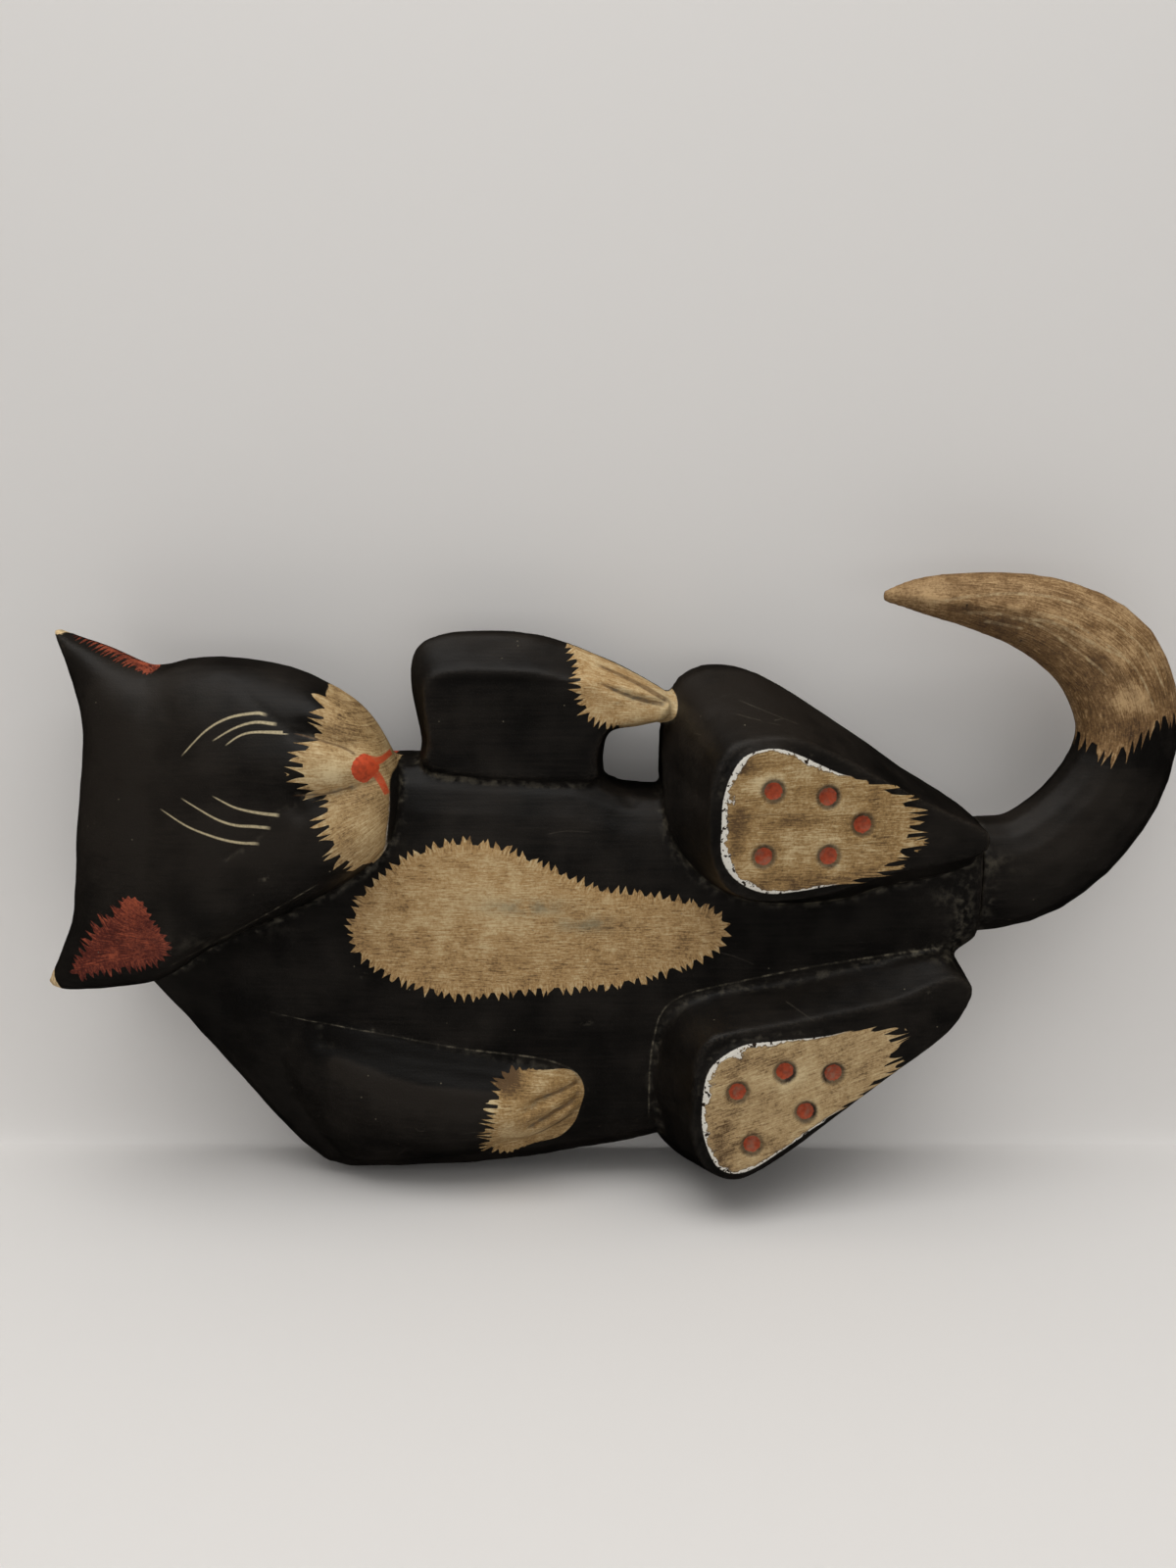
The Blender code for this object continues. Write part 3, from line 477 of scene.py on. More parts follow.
def lay_patches(skin, patches, streaks=None):
    """Writes, for each corner of each face, where it lies in the nearest painted patch."""
    flat = skin.front()
    faces = skin.faces
    centre = flat[faces].mean(axis=1)
    middle_depth = -skin.co[:, 1][faces].mean(axis=1)
    facing = -skin.normals()[:, 1][faces].mean(axis=1)
    best = np.full(len(faces), FAR_OUT)
    edge = np.full(faces.shape, FAR_OUT)
    tooth = np.zeros((*faces.shape, 3))
    fur = np.zeros((*faces.shape, 3))
    tint = np.zeros((*faces.shape, 4))
    for number, patch in enumerate(patches):
        line = curve_through(patch["outline"], 10, closed=True)
        plan = line[:, :2]
        travelled = travelled_along(plan)
        low, high = plan.min(axis=0) - PATCH_MARGIN, plan.max(axis=0) + PATCH_MARGIN
        near = ((centre > low) & (centre < high)).all(axis=1) & (facing > patch["facing"])
        near &= (middle_depth > patch["depths"][0]) & (middle_depth < patch["depths"][1])
        picked = np.flatnonzero(near)
        points = np.unique(faces[picked])
        place = np.full(len(flat), -1)
        place[points] = np.arange(len(points))
        found = nearest_on(plan, flat[points])
        segment = found[:, 0].astype(int)
        signed = np.where(inside(plan, flat[points]), found[:, 2], -found[:, 2])
        blend = found[:, 1:2]
        widths = line[segment, 2:] * (1 - blend) + line[segment + 1, 2:] * blend
        along = travelled[segment] + found[:, 1] * np.diff(travelled)[segment]
        focus, reach = patch["focus"]
        ray = flat[points] - focus
        turned = np.arctan2(ray[:, 1], ray[:, 0])
        turned = np.mod(turned - patch["seam"], 2 * np.pi)
        apart = np.full(len(points), number * 50.0)
        fan = np.stack([np.hypot(ray[:, 0], ray[:, 1]), turned * reach, apart], axis=1)
        if streaks is not None:
            fan[:, :2] = streaks[points]
        corner = place[faces[picked]]
        edges = signed[corner]
        better = edges.mean(axis=1) > best[picked]
        picked, corner, edges = picked[better], corner[better], edges[better]
        around = along[corner]
        wrap = travelled[-1]
        if patch["teeth"] == "fan":
            around = fan[:, 1][corner]
            wrap = 2 * np.pi * reach
        around = around[:, :1] + np.mod(around - around[:, :1] + wrap / 2, wrap) - wrap / 2
        counted = around / patch["spacing"] + 37 * number
        best[picked] = edges.mean(axis=1)
        edge[picked] = edges
        tooth[picked] = np.stack([counted, *widths[corner].transpose(2, 0, 1)], axis=2)
        fur[picked] = fan[corner]
        tint[picked] = (*linear(patch["tint"])[:3], patch["red"])
    skin.write("patch_edge", edge)
    skin.write("patch_tooth", tooth, "FLOAT_VECTOR", field="vector")
    skin.write("patch_fur", fur, "FLOAT_VECTOR", field="vector")
    skin.write("patch_tint", tint, "FLOAT_COLOR", field="color")


def lay_spots(skin, spots):
    """Writes how far each corner lies inside the nearest small filled shape, with its colour."""
    flat = skin.front()
    centre = flat[skin.faces].mean(axis=1)
    facing = -skin.normals()[:, 1][skin.faces].mean(axis=1)
    best = np.full(len(centre), FAR_OUT)
    edge = np.full(skin.faces.shape, FAR_OUT)
    tint = np.zeros((*skin.faces.shape, 4))
    for outline, colour, ring in spots:
        line = np.asarray(outline, float)
        low, high = line.min(axis=0) - SPOT_MARGIN, line.max(axis=0) + SPOT_MARGIN
        picked = np.flatnonzero(((centre > low) & (centre < high)).all(axis=1) & (facing > -0.3))
        signed = depth_inside(line, flat[skin.faces[picked]].reshape(-1, 2)).reshape(-1, 4)
        better = signed.mean(axis=1) > best[picked]
        picked, signed = picked[better], signed[better]
        best[picked] = signed.mean(axis=1)
        edge[picked] = signed
        tint[picked] = (*linear(colour)[:3], ring)
    skin.write("spot_edge", edge)
    skin.write("spot_tint", tint, "FLOAT_COLOR", field="color")


def lay_lines(skin, lines):
    """Writes each corner's side distance and share along the nearest line, its colour and its gaps."""
    flat = skin.front()
    centre = flat[skin.faces].mean(axis=1)
    facing = -skin.normals()[:, 1][skin.faces].mean(axis=1)
    best = np.full(len(centre), SPOT_MARGIN)
    data = np.zeros((*skin.faces.shape, 3))
    data[..., 0] = -FAR_OUT
    tint = np.zeros((*skin.faces.shape, 4))
    for points, thin, thick, colour, broken in lines:
        line = curve_through(points, 8)
        length = travelled_along(line)[-1]
        head = line[0] + (line[0] - line[1]) / np.linalg.norm(line[0] - line[1]) * SPOT_MARGIN
        end = line[-1] + (line[-1] - line[-2]) / np.linalg.norm(line[-1] - line[-2]) * SPOT_MARGIN
        line = np.concatenate([[head], line, [end]])
        places = travelled_along(line) - SPOT_MARGIN
        low, high = line.min(axis=0) - SPOT_MARGIN, line.max(axis=0) + SPOT_MARGIN
        picked = np.flatnonzero(((centre > low) & (centre < high)).all(axis=1) & (facing > 0))
        found = nearest_on(line, flat[skin.faces[picked]].reshape(-1, 2))
        segment = found[:, 0].astype(int)
        side = (found[:, 2] * np.where(found[:, 3] < 0, -1, 1)).reshape(-1, 4)
        share = (places[segment] + found[:, 1] * np.diff(places)[segment]).reshape(-1, 4) / length
        away = np.abs(side.mean(axis=1))
        better = away < best[picked]
        picked, side, share, away = picked[better], side[better], share[better], away[better]
        best[picked] = away
        half = thin + (thick - thin) * np.clip(share, 0, 1)
        data[picked] = np.stack([side, share, half], axis=2)
        tint[picked] = (*linear(colour)[:3], broken)
    skin.write("line_place", data, "FLOAT_VECTOR", field="vector")
    skin.write("line_tint", tint, "FLOAT_COLOR", field="color")


def ripple(skin, size, seed):
    """Soft random heights, one to each point, with bumps about this many millimetres wide."""
    return np.array([noise.noise(Vector((p[0] / size + seed, p[1] / size, p[2] / size))) for p in skin.co])


def knife_marks(skin, ripples):
    """The shallow hills that a knife leaves, from (height, width, seed) of each set."""
    return sum(tall * ripple(skin, wide, seed) for tall, wide, seed in ripples)


def groove_depth(skin, line, width):
    """A rounded groove's share of its full depth at each point."""
    found = nearest_on(curve_through(line, 4), skin.front())
    return np.exp(-((found[:, 2] / width) ** 2))


def soft_blob(skin, x, z, wide, tall, low_depth=0):
    """A soft round mark on the front, 1 in the middle and fading outwards."""
    away = ((skin.co[:, 0] - x) / wide) ** 2 + ((skin.co[:, 2] - z) / tall) ** 2
    return np.exp(-away) * (-skin.co[:, 1] > low_depth)


def on_soles(skin):
    """Which points lie on a sole or just around it."""
    found = np.zeros(len(skin.co), bool)
    for outline in (UPPER_SOLE_FUR, LOWER_SOLE_FUR):
        line = curve_through(np.array(outline)[:, :2], 6, closed=True)
        found |= (depth_inside(line, skin.front()) > -SPOT_MARGIN) & (-skin.co[:, 1] > SOLE_DEPTH)
    return found


def cat_skin():
    """The carved block: edges softened by the knife, finger grooves, dents and tool marks."""
    skin = Skin("cat_body", "carved_cat", BODY_SKIN)
    back = skin.co[:, 1] > -0.4
    by_tail = skin.co[:, 0] > skin.high[0] - 4
    soles = on_soles(skin)
    crease = np.clip(skin.hollow(3) / 0.25, 0, 1)
    weight = np.where(soles, 0.3, 1.0) * (1 - 0.75 * crease)
    weight[by_tail] *= 0.15
    skin.soften(9, weight[:, None])
    cheeks = sum(soft_blob(skin, x, z, 8, 7) for x, z in GROOVE_STARTS)
    for _ in range(14):
        skin.co += 0.5 * np.clip(cheeks, 0, 1)[:, None] * skin.pull(skin.co)
    front = skin.faces_front()
    for lines, (deep, wide) in (
            (FINGER_GROOVES, (2.5, 1.4)), (SNOUT_LINES, (0.5, 1.5)),
            ([line for line, _, _ in MUZZLE_CREASES], (1.2, 1.6))):
        for line in lines:
            skin.co[:, 1] += deep * groove_depth(skin, line, wide) * front
    skin.co[:, 1] += ARM_DIP * groove_depth(skin, ARM_HOLLOW, 5.2) * front * (-skin.co[:, 1] > ARM_DEPTH)
    for x, z in PADS:
        away = np.hypot(skin.co[:, 0] - x, skin.co[:, 2] - z)
        bowl = PAD_HOLLOW * np.exp(-((away / 4.3) ** 4))
        lip = PAD_LIP * np.exp(-(((away - 6.2) / 1.3) ** 2))
        skin.co[:, 1] += (bowl - lip) * front
    for (x, z), (long, wide), deep in GOUGES:
        away = ((skin.co[:, 0] - x) / long) ** 2 + ((skin.co[:, 2] - z) / wide) ** 2
        skin.co[:, 1] += deep * np.exp(-away) * front
    cut = knife_marks(skin, BODY_RIPPLES)
    skin.co += skin.normals() * (cut * np.where(soles, 0.4, 1.0) * ~back)[:, None]
    skin.co[back, 1] = 0
    skin.keep_in_box()
    return skin


def tail_skin():
    """The tail: the horn smoothed, with the long facets that a draw knife leaves."""
    skin = Skin("tail", "carved_tail", TAIL_SKIN)
    root = (skin.co[:, 2] < 45) & (skin.co[:, 0] < 177)
    skin.soften(30, np.where(root, 0.05, 1.0)[:, None])
    front = skin.faces_front()
    ridge = nearest_on(curve_through(TAIL_ARRIS, 6), skin.front())[:, 2]
    skin.co[:, 1] -= np.exp(-((ridge / 2.6) ** 2)) * front
    line = curve_through(TAIL_PATH, 10)
    places = travelled_along(line)
    found = nearest_on(line, skin.front())
    segment = found[:, 0].astype(int)
    along = places[segment] + found[:, 1] * np.diff(places)[segment]
    side = -found[:, 2] * found[:, 3]
    turn = np.arctan2(-skin.co[:, 1] - TAIL_AXIS_DEPTH, side)
    skin.co += skin.normals() * knife_marks(skin, TAIL_RIPPLES)[:, None]
    skin.keep_in_box()
    return skin, np.stack([along, turn * TAIL_RADIUS], axis=1)


def add(tree, kind, inputs=(), **settings):
    """Adds a node with its settings. An input, by name or place, is a value, an output or a node, which
    stands for its first output."""
    made = tree.nodes.new(kind)
    for name, value in settings.items():
        setattr(made, name, value)
    for place, value in dict(inputs).items():
        if isinstance(value, bpy.types.Node):
            value = value.outputs[0]
        if isinstance(value, bpy.types.NodeSocket):
            tree.links.new(value, made.inputs[place])
        else:
            made.inputs[place].default_value = value
    return made


def read_skin(tree):
    """The numbers on a skin, and the random marks that several paints share."""
    marks = SimpleNamespace()
    for name in ("patch_edge", "spot_edge", "crease", "arris", "stain", "scuff", "faded"):
        setattr(marks, name, add(tree, "ShaderNodeAttribute", attribute_name=name).outputs["Fac"])
    for name in ("patch_tint", "spot_tint", "line_tint"):
        setattr(marks, name, add(tree, "ShaderNodeAttribute", attribute_name=name).outputs)
    for name in ("patch_tooth", "line_place"):
        vector = add(tree, "ShaderNodeAttribute", attribute_name=name).outputs["Vector"]
        setattr(marks, name, add(tree, "ShaderNodeSeparateXYZ", {0: vector}).outputs)
    marks.fur = add(tree, "ShaderNodeAttribute", attribute_name="patch_fur").outputs["Vector"]
    place = add(tree, "ShaderNodeTexCoord").outputs["Object"]
    marks.grid = add(tree, "ShaderNodeMapping", {"Vector": place, "Scale": (1 / MM,) * 3})
    for name, (size, detail, rough, span) in RANDOM_MARKS.items():
        found = add(tree, "ShaderNodeTexNoise", {"Vector": marks.grid, "Scale": 1 / size, "Detail": detail,
                "Roughness": rough})
        if span:
            low, high, lowest, highest = span
            found = add(tree, "ShaderNodeMapRange", {"Value": found, "From Min": low, "From Max": high,
                    "To Min": lowest, "To Max": highest})
        setattr(marks, name, found)
    return marks


def black_paint(tree, marks):
    """Black brushed along the wood's grain, browner where it is thin and rubbed on the arrises, lighter with
    painted sheen and darker with painted shade in places.
    """
    along, up, through = BRUSH_STREAK
    brushed = add(tree, "ShaderNodeMapping", {"Vector": marks.grid,
            "Scale": (1 / along, 1 / up, 1 / through)})
    grain = add(tree, "ShaderNodeTexNoise", {"Vector": brushed, "Scale": 1.0, "Detail": 4.0,
            "Roughness": 0.6})
    tone = add(tree, "ShaderNodeMath", {0: grain, 1: 0.5, 2: marks.cloud}, operation="MULTIPLY_ADD")
    tone = add(tree, "ShaderNodeMapRange", {"Value": tone, "From Min": 0.6, "From Max": 1.1})
    # Painted sheen and painted shade, with the fading, lighten and darken the black here
    tone = add(tree, "ShaderNodeMath", {0: tone, 1: marks.faded}, operation="ADD")
    colour = add(tree, "ShaderNodeMix", {SHARE: tone, UNDER: linear(BLACK), OVER: linear(BLACK_WORN_AND_SHEEN)},
            data_type="RGBA").outputs[MIXED]
    worn = add(tree, "ShaderNodeMapRange", {"Value": marks.fine, "From Min": 0.4, "From Max": 0.65})
    for part in (marks.arris, 0.75):
        worn = add(tree, "ShaderNodeMath", {0: worn, 1: part}, operation="MULTIPLY")
    colour = add(tree, "ShaderNodeMix", {SHARE: worn, UNDER: colour, OVER: linear(BLACK_RUBBED)},
            data_type="RGBA").outputs[MIXED]
    return colour, grain


def fur_edge(tree, marks):
    """Where the tan or red paint covers the black: up to its outline, with pointed teeth past it."""
    count = marks.patch_tooth["X"]
    lean = add(tree, "ShaderNodeTexNoise", {"W": count, "Scale": 0.6, "Detail": 1.0}, noise_dimensions="1D")
    lean = add(tree, "ShaderNodeMath", {0: lean, 1: 0.5}, operation="SUBTRACT")
    lean = add(tree, "ShaderNodeMath", {0: lean, 1: marks.patch_edge}, operation="MULTIPLY")
    slid = add(tree, "ShaderNodeMath", {0: lean, 1: 0.45, 2: count}, operation="MULTIPLY_ADD")
    cells = add(tree, "ShaderNodeTexVoronoi", {"W": slid, "Scale": 1.0, "Randomness": 0.6},
            voronoi_dimensions="1D", feature="F1")
    peak = add(tree, "ShaderNodeMapRange", {"Value": cells, "From Max": 0.42, "To Min": 1.0, "To Max": 0.0})
    tall = add(tree, "ShaderNodeTexNoise", {"W": count, "Scale": 0.43}, noise_dimensions="1D")
    tall = add(tree, "ShaderNodeMapRange", {"Value": tall, "From Min": 0.3, "From Max": 0.7, "To Min": 0.7,
            "To Max": 1.25})
    spike = add(tree, "ShaderNodeMath", {0: peak, 1: marks.patch_tooth["Y"]}, operation="MULTIPLY")
    ragged = add(tree, "ShaderNodeMath", {0: spike, 1: tall, 2: marks.patch_edge}, operation="MULTIPLY_ADD")
    rough_edge = add(tree, "ShaderNodeMath", {0: marks.fine, 1: 0.4, 2: -0.2}, operation="MULTIPLY_ADD")
    ragged = add(tree, "ShaderNodeMath", {0: ragged, 1: rough_edge}, operation="ADD")
    return add(tree, "ShaderNodeMapRange", {"Value": ragged, "From Min": -0.15, "From Max": 0.25},
            interpolation_type="SMOOTHSTEP")


def fur_paint(tree, marks, dark_stroke, pale_stroke):
    """Strokes along the coat in three tones, turned towards the teeth at the edge, with smudges and with
    painted sheen and shade.
    """
    edge, tooth = marks.patch_edge, marks.patch_tooth
    scale = (1 / STROKE_LENGTH, 1 / STROKE_WIDTH, 1)
    strokes = add(tree, "ShaderNodeMapping", {"Vector": marks.fur, "Scale": scale})
    strokes = add(tree, "ShaderNodeTexNoise", {"Vector": strokes, "Scale": 1.0, "Detail": 5.0,
            "Roughness": 0.7, "Distortion": 0.9})
    tips = add(tree, "ShaderNodeCombineXYZ", {"X": edge, "Y": tooth["X"]})
    tips = add(tree, "ShaderNodeMapping", {"Vector": tips, "Scale": (1 / 4, STROKES_IN_TOOTH, 1)})
    tips = add(tree, "ShaderNodeTexNoise", {"Vector": tips, "Scale": 1.0, "Detail": 4.0})
    near_edge = add(tree, "ShaderNodeMapRange", {"Value": edge, "From Max": 4.0, "To Min": 0.9,
            "To Max": 0.0})
    fringed = add(tree, "ShaderNodeMapRange", {"Value": tooth["Y"], "From Min": 0.5, "From Max": 2.5})
    near_edge = add(tree, "ShaderNodeMath", {0: near_edge, 1: fringed}, operation="MULTIPLY")
    strokes = add(tree, "ShaderNodeMix", {0: near_edge, 2: strokes, 3: tips}, data_type="FLOAT")
    tone = add(tree, "ShaderNodeMath", {0: marks.fluff, 1: 0.6, 2: strokes}, operation="MULTIPLY_ADD")
    tone = add(tree, "ShaderNodeMath", {0: marks.blotch, 1: 0.5, 2: tone}, operation="MULTIPLY_ADD")
    # Painted sheen and painted shade, with the fading, lighten and darken the coat here
    tone = add(tree, "ShaderNodeMath", {0: marks.faded, 1: 0.25, 2: tone}, operation="MULTIPLY_ADD")
    deep = add(tree, "ShaderNodeMapRange", {"Value": tone, "From Min": 1.04, "From Max": 0.82})
    bright = add(tree, "ShaderNodeMapRange", {"Value": tone, "From Min": 1.05, "From Max": 1.32})
    red = marks.patch_tint["Alpha"]
    deep_tint = add(tree, "ShaderNodeMix", {SHARE: red, UNDER: linear(dark_stroke), OVER: linear(RED_DARK)},
            data_type="RGBA").outputs[MIXED]
    bright_tint = add(tree, "ShaderNodeMix", {SHARE: red, UNDER: linear(pale_stroke),
            OVER: linear(RED_LIGHT)}, data_type="RGBA").outputs[MIXED]
    smudged = add(tree, "ShaderNodeMapRange", {"Value": marks.blotch, "From Min": 0.3, "From Max": 0.6})
    smudged = add(tree, "ShaderNodeMath", {0: marks.stain, 1: smudged}, operation="MULTIPLY")
    coat = marks.patch_tint["Color"]
    for share, over in ((deep, deep_tint), (bright, bright_tint), (smudged, linear(SMUDGE))):
        coat = add(tree, "ShaderNodeMix", {SHARE: share, UNDER: coat, OVER: over},
                data_type="RGBA").outputs[MIXED]
    return coat, tone


def bare_rim(tree, marks, coat):
    """White primer, pitted and with a dirty lip, where the paint has chipped off the rim of a sole."""
    width = marks.patch_tooth["Z"]
    bared = add(tree, "ShaderNodeMath", {0: marks.peeled, 1: width}, operation="MULTIPLY")
    bared = add(tree, "ShaderNodeMath", {0: bared, 1: marks.patch_edge}, operation="SUBTRACT")
    has_rim = add(tree, "ShaderNodeMapRange", {"Value": width, "From Min": 0.05, "From Max": 0.4})
    lip = add(tree, "ShaderNodeMapRange", {"Value": bared, "From Min": -0.7, "From Max": -0.15})
    for part in (has_rim, marks.fluff):
        lip = add(tree, "ShaderNodeMath", {0: lip, 1: part}, operation="MULTIPLY")
    bared = add(tree, "ShaderNodeMapRange", {"Value": bared, "From Min": -0.1, "From Max": 0.2})
    bared = add(tree, "ShaderNodeMath", {0: bared, 1: has_rim}, operation="MULTIPLY")
    pits = add(tree, "ShaderNodeMapRange", {"Value": marks.chips, "From Min": 1.28, "From Max": 1.45})
    pits = add(tree, "ShaderNodeMath", {0: pits, 1: bared}, operation="MULTIPLY")
    for share, over in ((lip, RIM_DIRT_AND_SHADE), (bared, PRIMER), (pits, RIM_DIRT_AND_SHADE)):
        coat = add(tree, "ShaderNodeMix", {SHARE: share, UNDER: coat, OVER: linear(over)},
                data_type="RGBA").outputs[MIXED]
    return coat


def small_spots(tree, marks, colour):
    """Pads with a dark rim of painted shade and dirt in their hollows, the nose, and chips of bare wood."""
    wobble = add(tree, "ShaderNodeMath", {0: marks.fine, 1: 1.0, 2: -0.5}, operation="MULTIPLY_ADD")
    edge = add(tree, "ShaderNodeMath", {0: marks.spot_edge, 1: wobble}, operation="ADD")
    # A dark ring round each pad: painted shade and dirt in its hollow
    ring = add(tree, "ShaderNodeMapRange", {"Value": edge, "From Min": -2.3, "From Max": -0.5},
            interpolation_type="SMOOTHSTEP")
    for part in (marks.spot_tint["Alpha"], marks.blotch, 1.5):
        ring = add(tree, "ShaderNodeMath", {0: ring, 1: part}, operation="MULTIPLY")
    filled = add(tree, "ShaderNodeMapRange", {"Value": edge, "From Min": -0.1, "From Max": 0.25},
            interpolation_type="SMOOTHSTEP")
    mottle = add(tree, "ShaderNodeMapRange", {"Value": marks.chips, "From Min": 0.2, "From Max": 1.3,
            "To Min": 0.75, "To Max": 1.1})
    dab = add(tree, "ShaderNodeVectorMath", {0: marks.spot_tint["Color"], "Scale": mottle}, operation="SCALE")
    for share, over in ((ring, linear(RIM_DIRT_AND_SHADE)), (filled, dab)):
        colour = add(tree, "ShaderNodeMix", {SHARE: share, UNDER: colour, OVER: over},
                data_type="RGBA").outputs[MIXED]
    return colour


def brush_lines(tree, marks, colour):
    """Fine lines, dry in places and broken where they are dust or scratches, and brown lines of painted shade
    along grooves.
    """
    share = marks.line_place["Y"]
    across = add(tree, "ShaderNodeMath", {0: marks.line_place["X"]}, operation="ABSOLUTE")
    inward = add(tree, "ShaderNodeMath", {0: marks.line_place["Z"], 1: across}, operation="SUBTRACT")
    start = add(tree, "ShaderNodeMapRange", {"Value": share, "From Min": -0.03, "From Max": 0.05})
    stop = add(tree, "ShaderNodeMapRange", {"Value": share, "From Min": 1.04, "From Max": 0.97})
    drawn = add(tree, "ShaderNodeMapRange", {"Value": inward, "From Min": -0.2, "From Max": 0.2})
    dry = add(tree, "ShaderNodeMapRange", {"Value": marks.fluff, "From Min": 0.3, "From Max": 0.55,
            "To Min": 0.55})
    whole = add(tree, "ShaderNodeMix", {0: marks.line_tint["Alpha"], 2: 1.0, 3: marks.patchy},
            data_type="FLOAT")
    for part in (start, stop, dry, whole):
        drawn = add(tree, "ShaderNodeMath", {0: drawn, 1: part}, operation="MULTIPLY")
    return add(tree, "ShaderNodeMix", {SHARE: drawn, UNDER: colour, OVER: marks.line_tint["Color"]},
            data_type="RGBA").outputs[MIXED]


def dust(tree, marks, colour):
    """Dust in the creases and on the scuffs, and specks of it everywhere."""
    dusty = add(tree, "ShaderNodeMath", {0: marks.crease, 1: marks.patchy}, operation="MULTIPLY")
    scuffed = marks.scuff
    for part in (marks.patchy, 0.6):
        scuffed = add(tree, "ShaderNodeMath", {0: scuffed, 1: part}, operation="MULTIPLY")
    specks = add(tree, "ShaderNodeTexVoronoi", {"Vector": marks.grid, "Scale": 1 / SPECK_SPACING})
    specks = add(tree, "ShaderNodeMapRange", {"Value": specks, "From Min": 0.034, "From Max": 0.024})
    for part in (specks, scuffed):
        dusty = add(tree, "ShaderNodeMath", {0: dusty, 1: part}, operation="MAXIMUM")
    dusty = add(tree, "ShaderNodeMath", {0: dusty, 1: 0.6}, operation="MULTIPLY")
    colour = add(tree, "ShaderNodeMix", {SHARE: dusty, UNDER: colour, OVER: linear(DUST)},
            data_type="RGBA").outputs[MIXED]
    return colour, dusty


def painted_carved_wood(name, dark_stroke, pale_stroke):
    """Soft wood, knife-cut, with brushed acrylic paint and a satin wax: a low sheen that breaks up along
    the brush, chalky tan fur in fine strokes, primer where the paint has chipped, and dust in the creases."""
    material = bpy.data.materials.new(name)
    material.use_nodes = True
    tree = material.node_tree
    tree.nodes.clear()
    marks = read_skin(tree)
    colour, grain = black_paint(tree, marks)
    covered = fur_edge(tree, marks)
    coat, coat_tone = fur_paint(tree, marks, dark_stroke, pale_stroke)
    coat = bare_rim(tree, marks, coat)
    colour = add(tree, "ShaderNodeMix", {SHARE: covered, UNDER: colour, OVER: coat},
            data_type="RGBA").outputs[MIXED]
    colour = small_spots(tree, marks, colour)
    colour = brush_lines(tree, marks, colour)
    colour, dusty = dust(tree, marks, colour)

    # Waxed black is satin; the tan paint and the dust are nearly matt
    gloss = add(tree, "ShaderNodeMapRange", {"Value": marks.cloud, "From Min": 0.3, "From Max": 0.7,
            "To Min": 0.4, "To Max": 0.52})
    matt = add(tree, "ShaderNodeMath", {0: covered, 1: dusty}, operation="MAXIMUM")
    gloss = add(tree, "ShaderNodeMix", {0: matt, 2: gloss, 3: 0.62}, data_type="FLOAT")
    lift = add(tree, "ShaderNodeMath", {0: grain, 1: 0.2}, operation="MULTIPLY")
    lift = add(tree, "ShaderNodeMath", {0: marks.fine, 1: 0.2, 2: lift}, operation="MULTIPLY_ADD")
    thick = add(tree, "ShaderNodeMath", {0: coat_tone, 1: 0.6, 2: 0.1}, operation="MULTIPLY_ADD")
    lift = add(tree, "ShaderNodeMath", {0: covered, 1: thick, 2: lift}, operation="MULTIPLY_ADD")
    bump = add(tree, "ShaderNodeBump", {"Height": lift, "Distance": PAINT_RELIEF * MM, "Strength": 0.8})
    shader = add(tree, "ShaderNodeBsdfPrincipled", {"Base Color": colour, "Roughness": gloss, "Normal": bump,
            "IOR": 1.46, "Metallic": 0.0})
    add(tree, "ShaderNodeOutputMaterial", {"Surface": shader})
    return material


def all_marks(skin, marks):
    """Soft round marks added up, from (strength, place and size)."""
    return sum((share * soft_blob(skin, *mark) for share, mark in marks), np.zeros(len(skin.co)))


def wear(skin, stains, scuffs, faded, more_fading_and_painted_light):
    """Writes the creases, arrises, stains, scuffs and places of fading, painted sheen and painted shade of a
    skin.
    """
    rise = skin.hollow(4)
    skin.write("crease", np.clip(rise / 0.45 - 0.15, 0, 1), place="POINT")
    skin.write("arris", np.clip(-rise / 0.5 - 0.2, 0, 1), place="POINT")
    skin.write("stain", all_marks(skin, stains), place="POINT")
    skin.write("scuff", all_marks(skin, scuffs), place="POINT")
    skin.write("faded", all_marks(skin, faded) + more_fading_and_painted_light, place="POINT")


def circle(centre, radius):
    turns = np.linspace(0, 2 * np.pi, 25)
    return [(centre[0] + radius * np.cos(a), centre[1] + radius * np.sin(a)) for a in turns]


def patch(outline, focus, spacing, tint, teeth="edge", facing=-0.2, depths=(0, 90), seam=-np.pi, red=0.0):
    """A painted patch: its outline, where its strokes fan out from, the width of a tooth and its paint."""
    return {"outline": outline, "focus": focus, "spacing": spacing, "tint": tint, "teeth": teeth,
            "facing": facing, "depths": depths, "seam": seam, "red": red}


def dress(skin, material, node):
    """Puts the finished skin in the place of its CAD node."""
    skin.mesh.materials.clear()
    skin.mesh.materials.append(material)
    skin.mesh.shade_smooth()
    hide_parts(node)
    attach(skin.item, "root")


